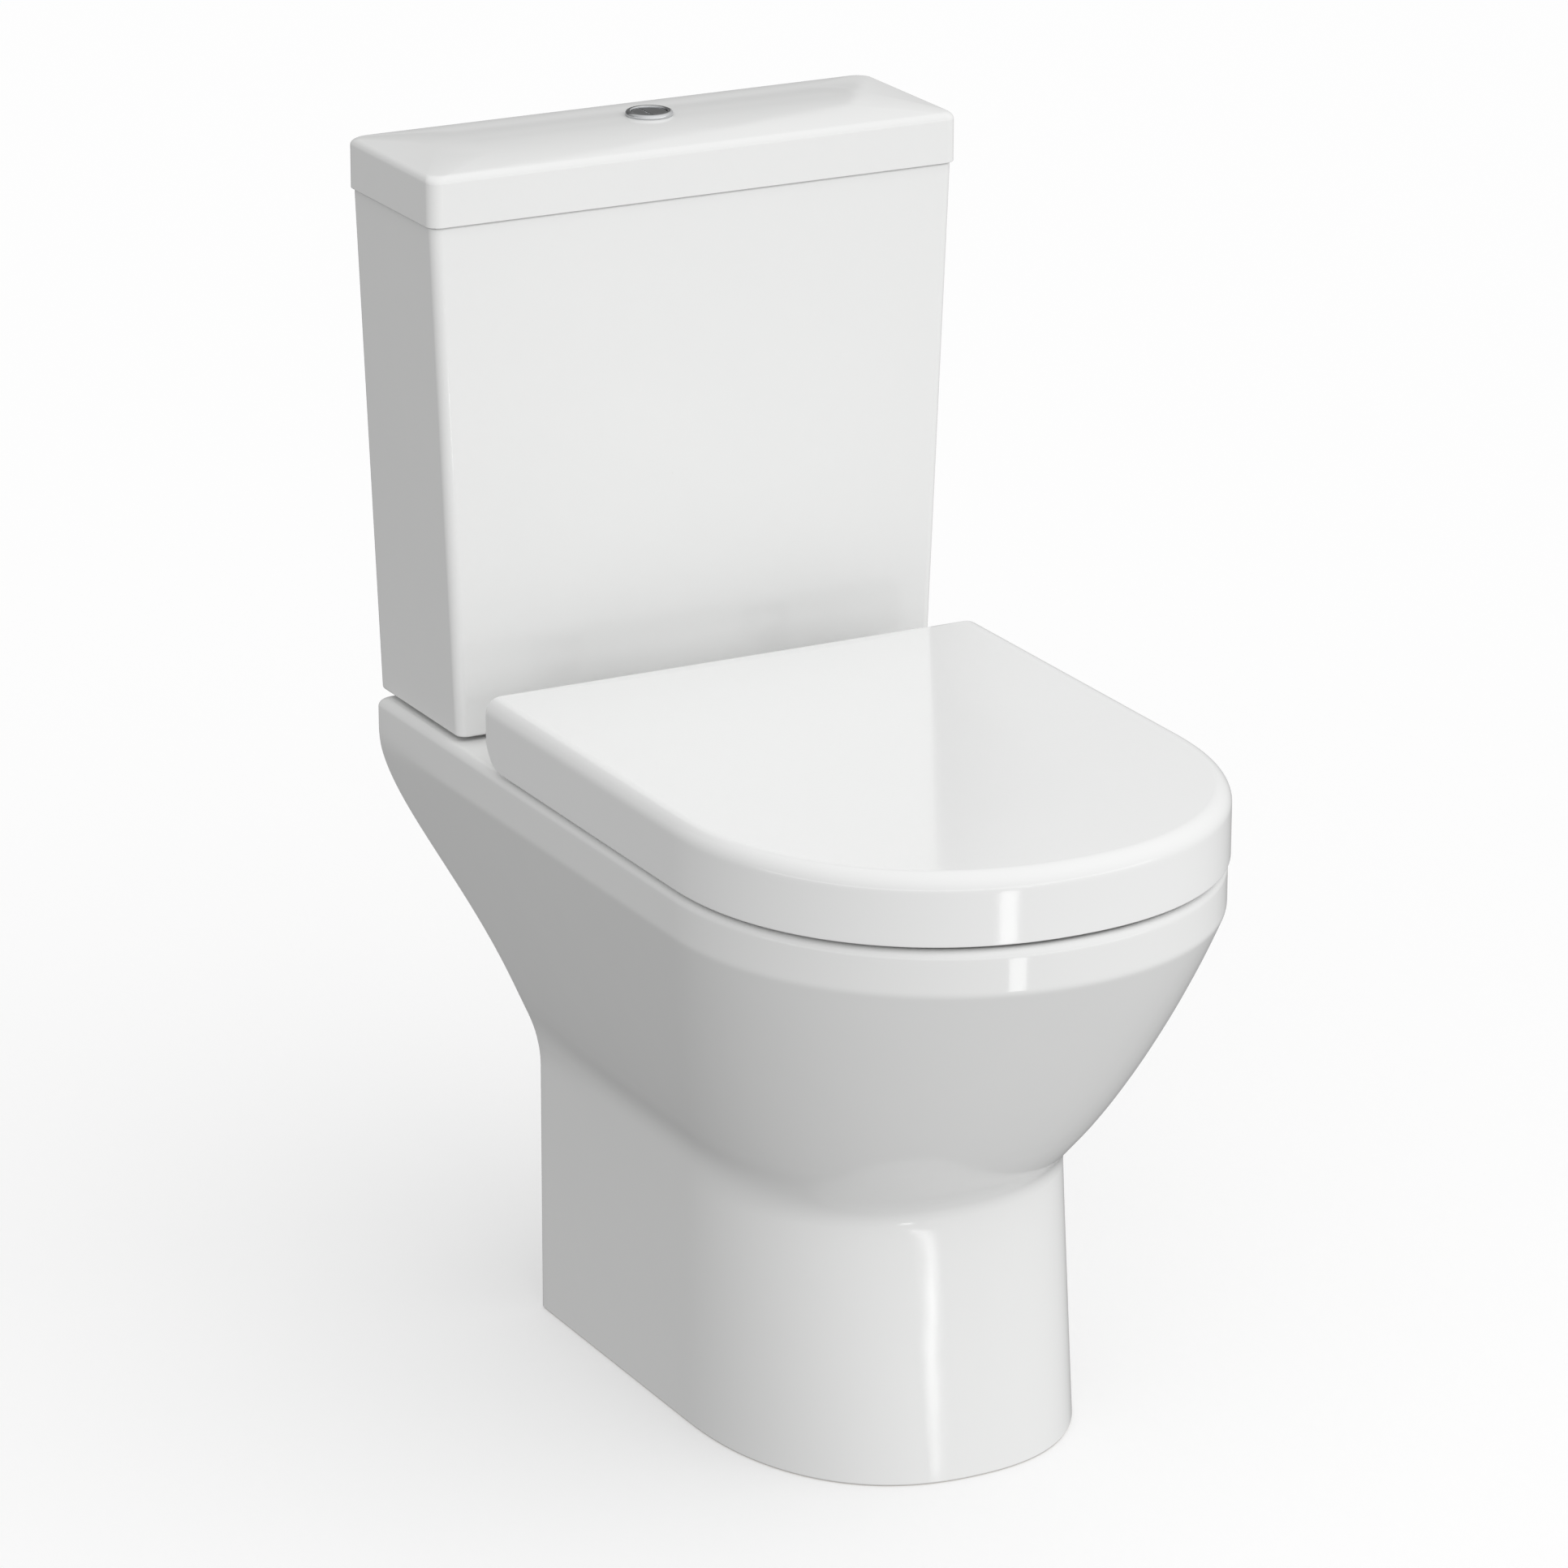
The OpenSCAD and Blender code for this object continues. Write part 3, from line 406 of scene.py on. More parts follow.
def turned(name, profile, centre, steps=96, axis="Z"):
    # profile: closed outline of (radius, height), or one that starts and ends on the axis
    angles = np.linspace(0, 2 * math.pi, steps, endpoint=False)
    solid = profile[0][0] < 1e-9 and profile[-1][0] < 1e-9
    inner = profile[1:-1] if solid else profile
    rings = [np.column_stack([r * np.cos(angles), r * np.sin(angles), np.full(steps, z)]) for r, z in inner]
    if solid:
        points = np.concatenate(rings + [[[0, 0, profile[0][1]]], [[0, 0, profile[-1][1]]]])
        low, high, last = len(points) - 2, len(points) - 1, (len(rings) - 1) * steps
        faces = [(low, (i + 1) % steps, i) for i in range(steps)]
        faces += [(high, last + i, last + (i + 1) % steps) for i in range(steps)]
        loops = len(rings) - 1
    else:
        points, faces, loops = np.concatenate(rings), [], len(rings)
    for k in range(loops):
        a, b = k * steps, (k + 1) % len(rings) * steps
        faces += [(a + i, a + (i + 1) % steps, b + (i + 1) % steps, b + i) for i in range(steps)]
    if axis == "X":
        points = points[:, [2, 0, 1]]
    if axis == "Y":
        points = points[:, [1, 2, 0]]
    return meshObject(name, points + np.array(centre), faces)


def rod(name, centre, radius, low, high, steps=64, axis="Z"):
    return turned(name, [(0, low), (radius, low), (radius, high), (0, high)], centre, steps, axis)


def block(name, low, high):
    x, y, z = zip(low, high)
    outline = np.array([(x[0], y[0]), (x[1], y[0]), (x[1], y[1]), (x[0], y[1])])
    return loft(name, [atHeight(outline, z[0]), atHeight(outline, z[1])])


def sideBlock(side, inner, outer, low, high):
    # a block on one side: distances from the middle, then its low and high (y, z)
    x = sorted((side * inner, side * outer))
    return block("sideBlock", (x[0], *low), (x[1], *high))


def settle(piece, step):
    # the modifier's result becomes the mesh
    shaped = bpy.data.meshes.new_from_object(piece.evaluated_get(bpy.context.evaluated_depsgraph_get()))
    piece.modifiers.remove(step)
    piece.data = shaped
    return piece


def combine(target, tool, how):
    step = target.modifiers.new("combine", "BOOLEAN")
    step.operation, step.object, step.solver = how, tool, "MANIFOLD"
    settle(target, step)
    bpy.data.objects.remove(tool)
    return target


def cut(target, tool):
    return combine(target, tool, "DIFFERENCE")


def join(target, tool):
    return combine(target, tool, "UNION")


def drill(target, x, y, radius, low, high, steps=64):
    return cut(target, rod("hole", (x, y, 0), radius, low, high, steps))


def smooth(piece, angle=35):
    piece.data.shade_smooth()
    piece.data.set_sharp_from_angle(angle=math.radians(angle))
    step = piece.modifiers.new("weighted", "WEIGHTED_NORMAL")
    step.keep_sharp, step.weight = True, 80
    return settle(piece, step)


def boxMiddle(node):
    low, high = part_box(node)
    return (low + high) / 2


def finishPiece(piece, *nodes):
    # the piece stands for these nodes, on their body and in their finish
    slot = slotOf[nodes[0]]
    piece.data.materials.clear()
    piece.data.materials.append(finishes[slot])
    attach(piece, bodyOf[nodes[0]])
    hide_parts(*nodes)
    print(f"{piece.name}: {len(piece.data.polygons)} faces")
    return piece


def mix(a, b, t):
    return a + (b - a) * t


def superEllipse(angle, fullness):
    return (np.sign(np.cos(angle)) * np.abs(np.cos(angle)) ** (2 / fullness), np.sin(angle) ** (2 / fullness))


def noseOutline(half, front, straight, back, fullness, corner, nosePoints=89):
    # from the back left corner, down the left side, round the nose and back, counter-clockwise
    turn = np.radians(np.linspace(90, 180, 7))
    left = np.column_stack([-half + corner + corner * np.cos(turn), back - corner + corner * np.sin(turn)])
    side = np.linspace(back - corner, straight, 26)[1:-1]
    across, along = superEllipse(np.radians(np.linspace(0, 180, nosePoints)), fullness)
    nose = np.column_stack([-half * across, straight - (straight - front) * along])
    leftSide = np.column_stack([np.full(len(side), -half), side])
    rightSide = leftSide[::-1] * (-1, 1)
    return np.concatenate([left, leftSide, nose, rightSide, left[::-1] * (-1, 1)])


def eggOutline(half, front, centre, back, count=120, start=0.0):
    angle = np.linspace(0, 2 * math.pi, count, endpoint=False) + start
    reach = np.where(np.sin(angle) > 0, back - centre, centre - front)
    return np.column_stack([half * np.cos(angle), centre + reach * np.sin(angle)])


def boxOutline(width, depth, radius, centre, count=9):
    corners = []
    for turn, (sx, sy) in enumerate(((1, 1), (-1, 1), (-1, -1), (1, -1))):
        angle = np.radians(np.linspace(0, 90, count) + 90 * turn)
        corners.append(np.column_stack([sx * (width / 2 - radius) + radius * np.cos(angle),
                                        centre + sy * (depth / 2 - radius) + radius * np.sin(angle)]))
    return np.concatenate(corners)


def rollSteps(radius, count=9):
    # (inset, drop) pairs round a quarter circle, from the side up to the top
    angle = np.radians(np.linspace(0, 90, count))
    return list(zip(radius * (1 - np.cos(angle)), radius * (1 - np.sin(angle))))


def quarterRound(x, z, across, down, turns):
    # round a corner at (x, z) from its side, at 0 degrees, to its top, at 90
    return [(x - across * (1 - math.cos(turn)), z - down * (1 - math.sin(turn)))
            for turn in np.radians(turns)]


def softened(curve, z, reach):
    # average of the curve over a short stretch, which rounds its creases
    steps = np.linspace(-1, 1, 15)
    weights = 1 - steps ** 2
    return (curve(z[:, None] + reach[:, None] * steps) * weights).sum(1) / weights.sum()


def sweep(name, route, radius, steps=48):
    route = np.array(route, float)
    ahead = np.gradient(route, axis=0)
    ahead /= np.linalg.norm(ahead, axis=1)[:, None]
    side = np.array((1.0, 0.0, 0.0))  # every route here lies in the middle plane
    angle = np.linspace(0, 2 * math.pi, steps, endpoint=False)[:, None]
    rings = [spot + radius * (np.cos(angle) * side + np.sin(angle) * np.cross(way, side))
             for spot, way in zip(route, ahead)]
    return loft(name, rings)


# Where the main pieces stand, from the frame
panLow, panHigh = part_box("pan")
tankLow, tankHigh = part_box("cistern")
lidLow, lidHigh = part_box("cistern_lid")
coverLow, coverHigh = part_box("cover")
ringLow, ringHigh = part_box("seat_ring")
hingeAt = Vector(jointOf["seat_hinge"]["pos_m"])
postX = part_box("hinge_posts")[1].x - 0.0125  # less the post's half width
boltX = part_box("coupling_bolts")[1].x - 0.008  # less the bolt head's radius
valveMiddle = boxMiddle("valve_base")
buttonMiddle = boxMiddle("button_bezel")
fillMiddle = boxMiddle("fill_riser")
past = 0.001  # how far a cut runs past the face it opens


# China pan

panShape = {
    "bandHeight": 0.029,  # upright band round the rim
    "rimRoll": 0.006,
    "rimNose": 0.187,
    "backCorner": 0.006,
    "footWidth": 0.248,
    "footNose": 0.161,
    "footBevel": 0.0015,
    "toeBack": 0.120,  # how far the toe stands back from the rim
    "toeLean": 0.028,
    "creaseFront": 0.177,
    "creaseSide": 0.194,
    "footGap": 0.123,  # from the back of the deck to the back of the foot
    "creaseFade": 0.12,
    "softHeights": (0, 0.12, 0.185, 0.26, 0.36, 0.40),
    "softReach": (0.004, 0.010, 0.015, 0.010, 0.0025, 0.0025),  # how far bends are rounded at those heights
    "backHeights": (0.12, 0.19, 0.26),
    "backReach": (0.014, 0.028, 0.014),  # the same, where the crease fades out
    "wall": 0.012,
    "deck": 0.015,
    "mouthHalf": 0.124,
    "mouthFront": 0.052,
    "mouthMiddle": -0.070,
    "mouthBack": 0.055,
    "mouthEdge": 0.005,  # rounding of the mouth's top edge
    "lip": 0.009,
    "lipDrop": 0.030,
    "rimPassage": 0.014,
    "sumpHeight": 0.095,
    "sumpHalf": 0.034,
    "sumpFront": -0.090,
    "sumpMiddle": -0.035,
    "sumpBack": 0.018,
    "sumpRound": 0.020,
    "trapRadius": 0.046,
    "trapWall": 0.009,
    "outletRadius": 0.051,
    "outletHeight": 0.185,
    "outletEnd": 0.230,
    "ductHalf": 0.050,
    "ductWall": 0.010,
    "ductDrop": 0.070,
    "ductFloor": 0.012,
    "ductRoof": 0.026,
    "plateInner": 0.072,  # fixing plates inside the foot
    "plateDeep": 0.060,
    "plateThick": 0.012,
    "plateHole": (0.092, 0.004),  # its distance from the middle, and its radius
    "fillHole": 0.020,
    "boltHole": 0.0065,
    "hingeHole": 0.007,
}


def panOutside():
    s = panShape
    front, rim = panLow.y, panHigh.z
    band, half = rim - s["bandHeight"], panHigh.x
    footBack = panHigh.y - s["footGap"]

    def rise(z, foot):
        return np.clip((z - foot) / (band - foot), 0, 1)

    def halfWidth(z):
        return mix(s["footWidth"] / 2, half, rise(z, s["creaseSide"]) ** 0.8)

    def frontLine(z):
        toe = front + s["toeBack"] + s["toeLean"] * np.clip(z / s["creaseFront"], 0, 1)
        return mix(toe, front, rise(z, s["creaseFront"]) ** 0.81)

    def straightLine(z):
        foot = front + s["toeBack"] + s["footNose"]
        return mix(foot, front + s["rimNose"], rise(z, s["creaseFront"]) ** 0.92)

    def fullness(z):
        t = rise(z, s["creaseFront"])
        return 2.3 - 0.26 * t + 0.44 * t * (1 - t)

    def backLine(z):
        t = rise(z, s["creaseFront"])
        return mix(footBack, panHigh.y, 1 - (1 - t ** 3.2) ** 3)

    # closer levels where the shape turns
    roll = s["rimRoll"] * np.sin(np.radians(np.linspace(10, 90, 9)))
    z = np.concatenate([
        [0, 0.0005, 0.0015], np.linspace(0.006, 0.162, 16), np.linspace(0.167, 0.215, 26),
        np.linspace(0.222, 0.362, 34), np.linspace(0.365, 0.378, 9),
        np.linspace(0.382, rim - s["rimRoll"], 4), rim - s["rimRoll"] + roll])
    reach = np.interp(z, s["softHeights"], s["softReach"])
    part = np.clip((z - rim + s["rimRoll"]) / s["rimRoll"], 0, 1)
    bevel = s["footBevel"] * np.clip(1 - z / s["footBevel"], 0, 1) ** 2
    inset = s["rimRoll"] * (1 - np.sqrt(1 - part ** 2)) + bevel
    values = zip(z, softened(halfWidth, z, reach) - inset, softened(frontLine, z, reach) + inset,
                 softened(straightLine, z, reach), softened(backLine, z, reach) - inset,
                 softened(fullness, z, reach))
    backReach = np.maximum(reach, np.interp(z, s["backHeights"], s["backReach"]))
    faded = softened(halfWidth, z, backReach) - inset
    rings = []
    for (level, wide, nose, straight, back, full), soft in zip(values, faded):
        outline = noseOutline(wide, nose, straight, back, full, s["backCorner"])
        # the crease under the flare fades out towards the back
        share = np.clip(1 - (back - outline[:, 1]) / s["creaseFade"], 0, 1)
        outline[:, 0] *= 1 + (soft / wide - 1) * share ** 2 * (3 - 2 * share)
        rings.append(atHeight(outline, level))

    def section(level):
        at = np.array([level])
        return [float(curve(at)[0]) for curve in (halfWidth, frontLine, straightLine, fullness)]

    return loft("pan", rings), section


def panVoid(section):
    s = panShape
    rim, wall = panHigh.z, s["wall"]
    flare = np.linspace(s["creaseFront"], rim - s["bandHeight"], 16)
    rings = []
    for level in (-past, *flare, rim - s["deck"]):
        half, front, straight, full = section(level)
        outline = noseOutline(half - wall, front + wall, straight, panHigh.y + 0.07, full, 0.001, 61)
        rings.append(atHeight(outline, level))
    # the china stays solid round the rim in front of the deck
    keep = block("keep", (-0.4, panLow.y - 0.01, rim - s["lipDrop"] - wall - 0.008),
                 (0.4, s["mouthBack"] + 0.030, rim))
    return cut(loft("hollow", rings), keep)


def bowlSolid(name, grow):
    s = panShape
    rings = []
    top = panHigh.z - s["lipDrop"] - 0.004
    outer = s["lip"] + s["rimPassage"]
    front, back = panLow.y + s["mouthFront"] - outer, s["mouthBack"] + s["lip"] + 0.006
    # the well's floor rounds up into its sides
    for inset, drop in rollSteps(s["sumpRound"], 8)[::-1]:
        rings.append((s["sumpHeight"] + drop - grow, s["sumpHalf"] - inset, s["sumpFront"] + inset * 0.7,
                      s["sumpMiddle"], s["sumpBack"] - inset * 0.7))
    for t in np.linspace(0.08, 1, 30):
        rings.append((mix(s["sumpHeight"], top, t), mix(s["sumpHalf"], s["mouthHalf"] + outer, t ** 0.7),
                      mix(s["sumpFront"], front, t ** 0.95), mix(s["sumpMiddle"], s["mouthMiddle"], t),
                      mix(s["sumpBack"], back, t ** 0.5)))
    return loft(name, [atHeight(eggOutline(half + grow, front - grow, centre, back + grow), level)
                       for level, half, front, centre, back in rings])


def mouthSolid(name, grow, low, high, flare=0.0):
    s = panShape
    steps = [(0.0, low), (0.0, high)]
    if flare:  # the edge opens out in a quarter round, up through the top face
        steps = [(0.0, low), *quarterRound(0, high, -flare, flare, np.linspace(0, 90, 8)),
                 (flare + 0.0005, high + 0.002)]
    half, front = s["mouthHalf"] + grow, panLow.y + s["mouthFront"] - grow
    back = s["mouthBack"] + min(grow, s["lip"] + 0.006)
    return loft(name, [atHeight(eggOutline(half + e, front - e, s["mouthMiddle"], back + e), z)
                       for e, z in steps])


def trapRoute():
    # up from the well, over the weir and down to the outlet
    s = panShape
    z = s["outletHeight"]
    start = np.array((0, -0.020, s["sumpHeight"] + 0.042))
    weir = np.array((0, 0.088, z + 0.022))
    fall = np.array((0, s["outletEnd"] - 0.090, z))
    climb = weir - start
    a, b, c = start + climb * 0.66, weir + (0, 0.012, 0.003), mix(weir, fall, 0.62)
    route = [start + climb * t for t in np.linspace(0, 0.62, 8)]
    route += [(1 - t) ** 2 * a + 2 * t * (1 - t) * b + t * t * c for t in np.linspace(0, 1, 18)]
    route += [mix(c, fall + (0, 0.012, 0), t) for t in np.linspace(0.3, 1, 5)]
    return route


def spigotParts():
    # the outlet's outside and its bore, turned about the outlet's axis
    s = panShape
    end = (0, s["outletEnd"], s["outletHeight"])
    trap, outlet = s["trapRadius"], s["outletRadius"]
    outside = [(0, -0.112), (trap - 0.012, -0.112), (trap, -0.104), (outlet, -0.084), (outlet, -0.0015),
               (outlet - 0.0015, 0), (0, 0)]
    trap, outlet = trap - s["trapWall"], outlet - s["trapWall"]
    bore = [(0, -0.100), (trap - 0.008, -0.100), (trap, -0.094), (outlet, -0.074), (outlet, past), (0, past)]
    return turned("spigot", outside, end, 96, "Y"), turned("outletBore", bore, end, 96, "Y")


def ductBlock(name, half, front, back, low, high):
    return block(name, (-half, panShape["mouthBack"] + front, panHigh.z - low),
                 (half, panHigh.y - back, panHigh.z - high))


def makePan():
    s = panShape
    rim = panHigh.z
    footBack = panHigh.y - s["footGap"]
    route = trapRoute()
    spigot, outletBore = spigotParts()
    pan, section = panOutside()
    cut(pan, panVoid(section))
    join(pan, bowlSolid("bowlOuter", s["wall"] - 0.001))
    join(pan, sweep("trapOuter", route, s["trapRadius"]))
    join(pan, spigot)
    join(pan, ductBlock("duct", s["ductHalf"], 0.015, 0.006, s["ductDrop"], past))
    for side in (-1, 1):
        join(pan, sideBlock(side, s["plateInner"], s["footWidth"] / 2 - s["wall"] + 0.002,
                            (footBack - s["plateDeep"], 0), (footBack - 0.003, s["plateThick"])))
    # hollows, from the bowl up to the mouth
    cut(pan, bowlSolid("bowlInner", 0.0))
    cut(pan, mouthSolid("passage", s["lip"] + s["rimPassage"], rim - s["lipDrop"] - 0.00401, rim - 0.013))
    cut(pan, ductBlock("ductHollow", s["ductHalf"] - s["ductWall"], -0.020, 0.006 + s["ductWall"],
                       s["ductDrop"] - s["ductFloor"], s["ductRoof"]))
    join(pan, mouthSolid("lip", s["lip"], rim - s["lipDrop"], rim - past))
    cut(pan, mouthSolid("mouth", 0, rim - s["lipDrop"] - 0.005, rim, s["mouthEdge"]))
    cut(pan, sweep("trapBore", route, s["trapRadius"] - s["trapWall"]))
    cut(pan, outletBore)
    # the gasket's seat, and the flush way below it
    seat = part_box("gasket")[1].x
    drill(pan, 0, valveMiddle.y, seat + 0.0004, rim - 0.014, rim + past, 96)
    drill(pan, 0, valveMiddle.y, seat - 0.011, rim - 0.027, rim + past, 96)
    underDeck = rim - s["deck"] - past
    drill(pan, fillMiddle.x, fillMiddle.y, s["fillHole"], underDeck, rim + past)
    for side in (-1, 1):
        drill(pan, side * boltX, valveMiddle.y, s["boltHole"], underDeck, rim + past, 40)
        drill(pan, side * postX, hingeAt.y, s["hingeHole"], underDeck, rim + past, 40)
        drill(pan, side * s["plateHole"][0], footBack - s["plateDeep"] / 2, s["plateHole"][1], -past,
              s["plateThick"] + past, 40)
    return finishPiece(smooth(pan, 30), "pan")


makePan()


# Cistern and lid

tankShape = {
    "baseWidth": 0.347,
    "corner": 0.007,
    "wall": 0.009,
    "floor": 0.012,
    "footRound": 0.0022,
    "edgeRound": 0.0015,
    "insideRound": 0.008,
    "fillHole": 0.01108,
    "boltHole": 0.0055,
    "wallHole": (0.100, 0.050, 0.004),  # from the middle, down from the top, and its radius
}


def tankOutline(z, inset):
    t = (z - tankLow.z) / (tankHigh.z - tankLow.z)
    width = mix(tankShape["baseWidth"], tankHigh.x * 2, t) - 2 * inset
    depth = tankHigh.y - tankLow.y - 2 * inset
    corner = max(0.001, tankShape["corner"] - inset * 0.6)
    return atHeight(boxOutline(width, depth, corner, (tankLow.y + tankHigh.y) / 2), z)


def makeCistern():
    s = tankShape
    low, high = tankLow.z, tankHigh.z
    rings = [tankOutline(low + drop, inset) for drop, inset in rollSteps(s["footRound"], 7)]
    rings += [tankOutline(z, 0) for z in np.linspace(low + 0.03, high - 0.02, 6)]
    rings += [tankOutline(high - drop, inset) for inset, drop in rollSteps(s["edgeRound"], 5)]
    tank = loft("cistern", rings)
    floor = low + s["floor"]
    inside = [tankOutline(floor + drop, s["wall"] + inset) for drop, inset in rollSteps(s["insideRound"], 7)]
    inside += [tankOutline(high - 0.01, s["wall"]), tankOutline(high + past, s["wall"])]
    cut(tank, loft("inside", inside))
    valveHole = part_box("valve_back_nut")[1].x - 0.005
    drill(tank, 0, valveMiddle.y, valveHole, low - past, floor + past, 96)
    drill(tank, fillMiddle.x, fillMiddle.y, s["fillHole"], low - past, floor + past)
    across, down, radius = s["wallHole"]
    for side in (-1, 1):
        drill(tank, side * boltX, valveMiddle.y, s["boltHole"], low - past, floor + past, 40)
        cut(tank, rod("wallHole", (side * across, 0, high - down), radius, tankHigh.y - s["wall"] - past,
                      tankHigh.y + past, 40, "Y"))
    return finishPiece(smooth(tank), "cistern")


lidShape = {
    "corner": 0.008,
    "roll": 0.0050,
    "rise": 0.0047,  # how far the crown bulges over its edge
    "crownReach": 0.058,  # how far in from the edge the crown goes on rising
    "footRound": 0.0006,
    "ribInset": 0.0105,  # gap and wall between the cistern's outside and the rib
    "ribThick": 0.006,
    "ribDrop": 0.0074,
    "ribCorner": 0.003,
    "skin": 0.010,
    "buttonHole": 0.0136,
}


def lidOutline(z, inset):
    width, depth = lidHigh.x - lidLow.x - 2 * inset, lidHigh.y - lidLow.y - 2 * inset
    corner = min(lidShape["corner"] + inset * 0.6, depth / 2 * 0.9)
    return atHeight(boxOutline(width, depth, corner, (lidLow.y + lidHigh.y) / 2, 11), z)


def ribOutline(z, inset):
    width = (tankHigh.x - lidShape["ribInset"] - inset) * 2
    depth = tankHigh.y - tankLow.y - 2 * (lidShape["ribInset"] + inset)
    return atHeight(boxOutline(width, depth, lidShape["ribCorner"], (lidLow.y + lidHigh.y) / 2), z)


def makeLid():
    s = lidShape
    low, crown = lidLow.z + s["ribDrop"], lidHigh.z
    rings = [lidOutline(low + drop, inset) for drop, inset in rollSteps(s["footRound"], 4)]
    # the edge's roll ends where the crown's slope begins
    lean = math.atan2(2 * s["rise"], s["crownReach"] - s["roll"])
    centre = crown - s["rise"] - s["roll"] * math.cos(lean)
    for turn in np.linspace(0, math.pi / 2 - lean, 9):
        rings.append(lidOutline(centre + s["roll"] * math.sin(turn), s["roll"] * (1 - math.cos(turn))))
    start = s["roll"] * (1 - math.sin(lean))
    for t in np.linspace(0.06, 1, 14):
        rings.append(lidOutline(crown - s["rise"] * (1 - t) ** 2, mix(start, s["crownReach"], t)))
    lid = loft("cisternLid", rings)
    join(lid, loft("rib", [ribOutline(z, 0) for z in (lidLow.z, low + past)]))
    ceiling = crown - s["skin"]
    steps = [(0, lidLow.z - past), (0, ceiling - 0.004), (0.0015, ceiling - 0.0015), (0.004, ceiling)]
    cut(lid, loft("under", [ribOutline(z, s["ribThick"] + inset) for inset, z in steps]))
    drill(lid, 0, buttonMiddle.y, s["buttonHole"], ceiling - past, crown + past, 96)
    return finishPiece(smooth(lid, 40), "cistern_lid")


makeCistern()
makeLid()


# Seat and cover

# each lug's ends are measured outwards from the post's middle
hingeShape = {
    "coverLug": (-0.0495, -0.0115),
    "coverLugRadius": 0.012,
    "coverWeb": 0.010,
    "ringLug": (0.0115, 0.028),
    "ringLugRadius": 0.011,
    "pinBore": 0.00506,
    "damperBore": 0.00806,
    "damperDepth": 0.021,
}


def hingeRod(side, inner, outer, radius, steps=72):
    low, high = sorted((side * inner, side * outer))
    return rod("hingeRod", (0, hingeAt.y, hingeAt.z), radius, low, high, steps, "X")


coverShape = {
    "noseStart": 0.005,  # how far behind the half circle the sides turn into the nose
    "fullness": 2.13,
    "corner": 0.002,
    "roll": 0.011,
    "backShare": 0.12,  # how much of that rounding the back edge has
    "thick": 0.0045,
    "crown": 0.0006,
    "crownReach": 0.11,
    "footRound": 0.0010,
    "insideRound": 0.007,
    "backRoll": 0.025,  # radius about the hinge that the back rolls round
    "notch": 0.018,
}
noseStart = coverLow.y + coverHigh.x + coverShape["noseStart"]


def coverOutline(z, inset, points=89):
    s = coverShape
    front, back = coverLow.y + inset, coverHigh.y - inset * s["backShare"]
    corner = max(0.001, s["corner"] - inset * 0.25)
    outline = noseOutline(coverHigh.x - inset, front, noseStart, back, s["fullness"], corner, points)
    return atHeight(outline, z)


def backCorner(radius):
    # what lies below and behind the hinge, outside the roll
    wide = coverHigh.x + 0.02
    corner = block("corner", (-wide, hingeAt.y, hingeAt.z - 0.06), (wide, hingeAt.y + 0.06, hingeAt.z))
    return cut(corner, rod("roll", (0, hingeAt.y, hingeAt.z), radius, -wide - 0.01, wide + 0.01, 128, "X"))


def makeCover():
    s = coverShape
    h = hingeShape
    base, high = coverLow.z, coverHigh.z
    edge = high - s["crown"]
    rings = [coverOutline(base + drop, inset) for drop, inset in rollSteps(s["footRound"], 4)]
    rings += [coverOutline(z, 0) for z in np.linspace(base + 0.006, high - s["roll"] - 0.003, 3)]
    rings += [coverOutline(edge - drop, inset) for inset, drop in rollSteps(s["roll"], 12)]
    rings += [coverOutline(mix(edge, high, t * (2 - t)), mix(s["roll"], s["crownReach"], t))
              for t in (0.15, 0.35, 0.6, 0.8, 1)]
    cover = loft("cover", rings)
    cut(cover, backCorner(s["backRoll"]))
    ceiling = high - s["thick"] - 0.0005
    inside = [coverOutline(z, s["thick"], 61) for z in (base - past, ceiling - 0.008)]
    inside += [coverOutline(ceiling - drop * 1.14, s["thick"] + inset, 61)
               for inset, drop in rollSteps(s["insideRound"], 7)[1:]]
    hollow = loft("hollow", inside)
    cut(hollow, backCorner(s["backRoll"] - s["thick"]))
    cut(cover, hollow)
    inner, outer = postX + h["coverLug"][0], postX + h["coverLug"][1]
    for side in (-1, 1):
        join(cover, hingeRod(side, inner, outer, h["coverLugRadius"]))
        join(cover, sideBlock(side, inner, outer, (hingeAt.y - h["coverWeb"], hingeAt.z),
                              (hingeAt.y + h["coverWeb"], ceiling + past)))
    notch = postX - s["notch"], postX + s["notch"]
    for side in (-1, 1):
        cut(cover, hingeRod(side, inner - past, outer + past, h["pinBore"], 48))
        cut(cover, hingeRod(side, inner - past, inner + h["damperDepth"], h["damperBore"], 48))
        cut(cover, sideBlock(side, *notch, (hingeAt.y + 0.014, base - past),
                             (coverHigh.y + past, ceiling - past)))
        cut(cover, sideBlock(side, *notch, (hingeAt.y - 0.002, base - past),
                             (hingeAt.y + 0.015, hingeAt.z - 0.013)))
    return finishPiece(smooth(cover, 32), "cover")


makeCover()

ringShape = {
    "fullness": 2.1,
    "corner": 0.004,
    "footRound": 0.003,
    "footBevel": 0.002,
    "outerRoll": (0.013, 0.0075),  # inset and drop of the domed outer edge
    "innerRoll": (0.0075, 0.0085),
    "holeHalf": 0.115,
    "holeFront": 0.061,  # from the front of the rim
    "holeBack": 0.045,
    "backGap": 0.019,
}


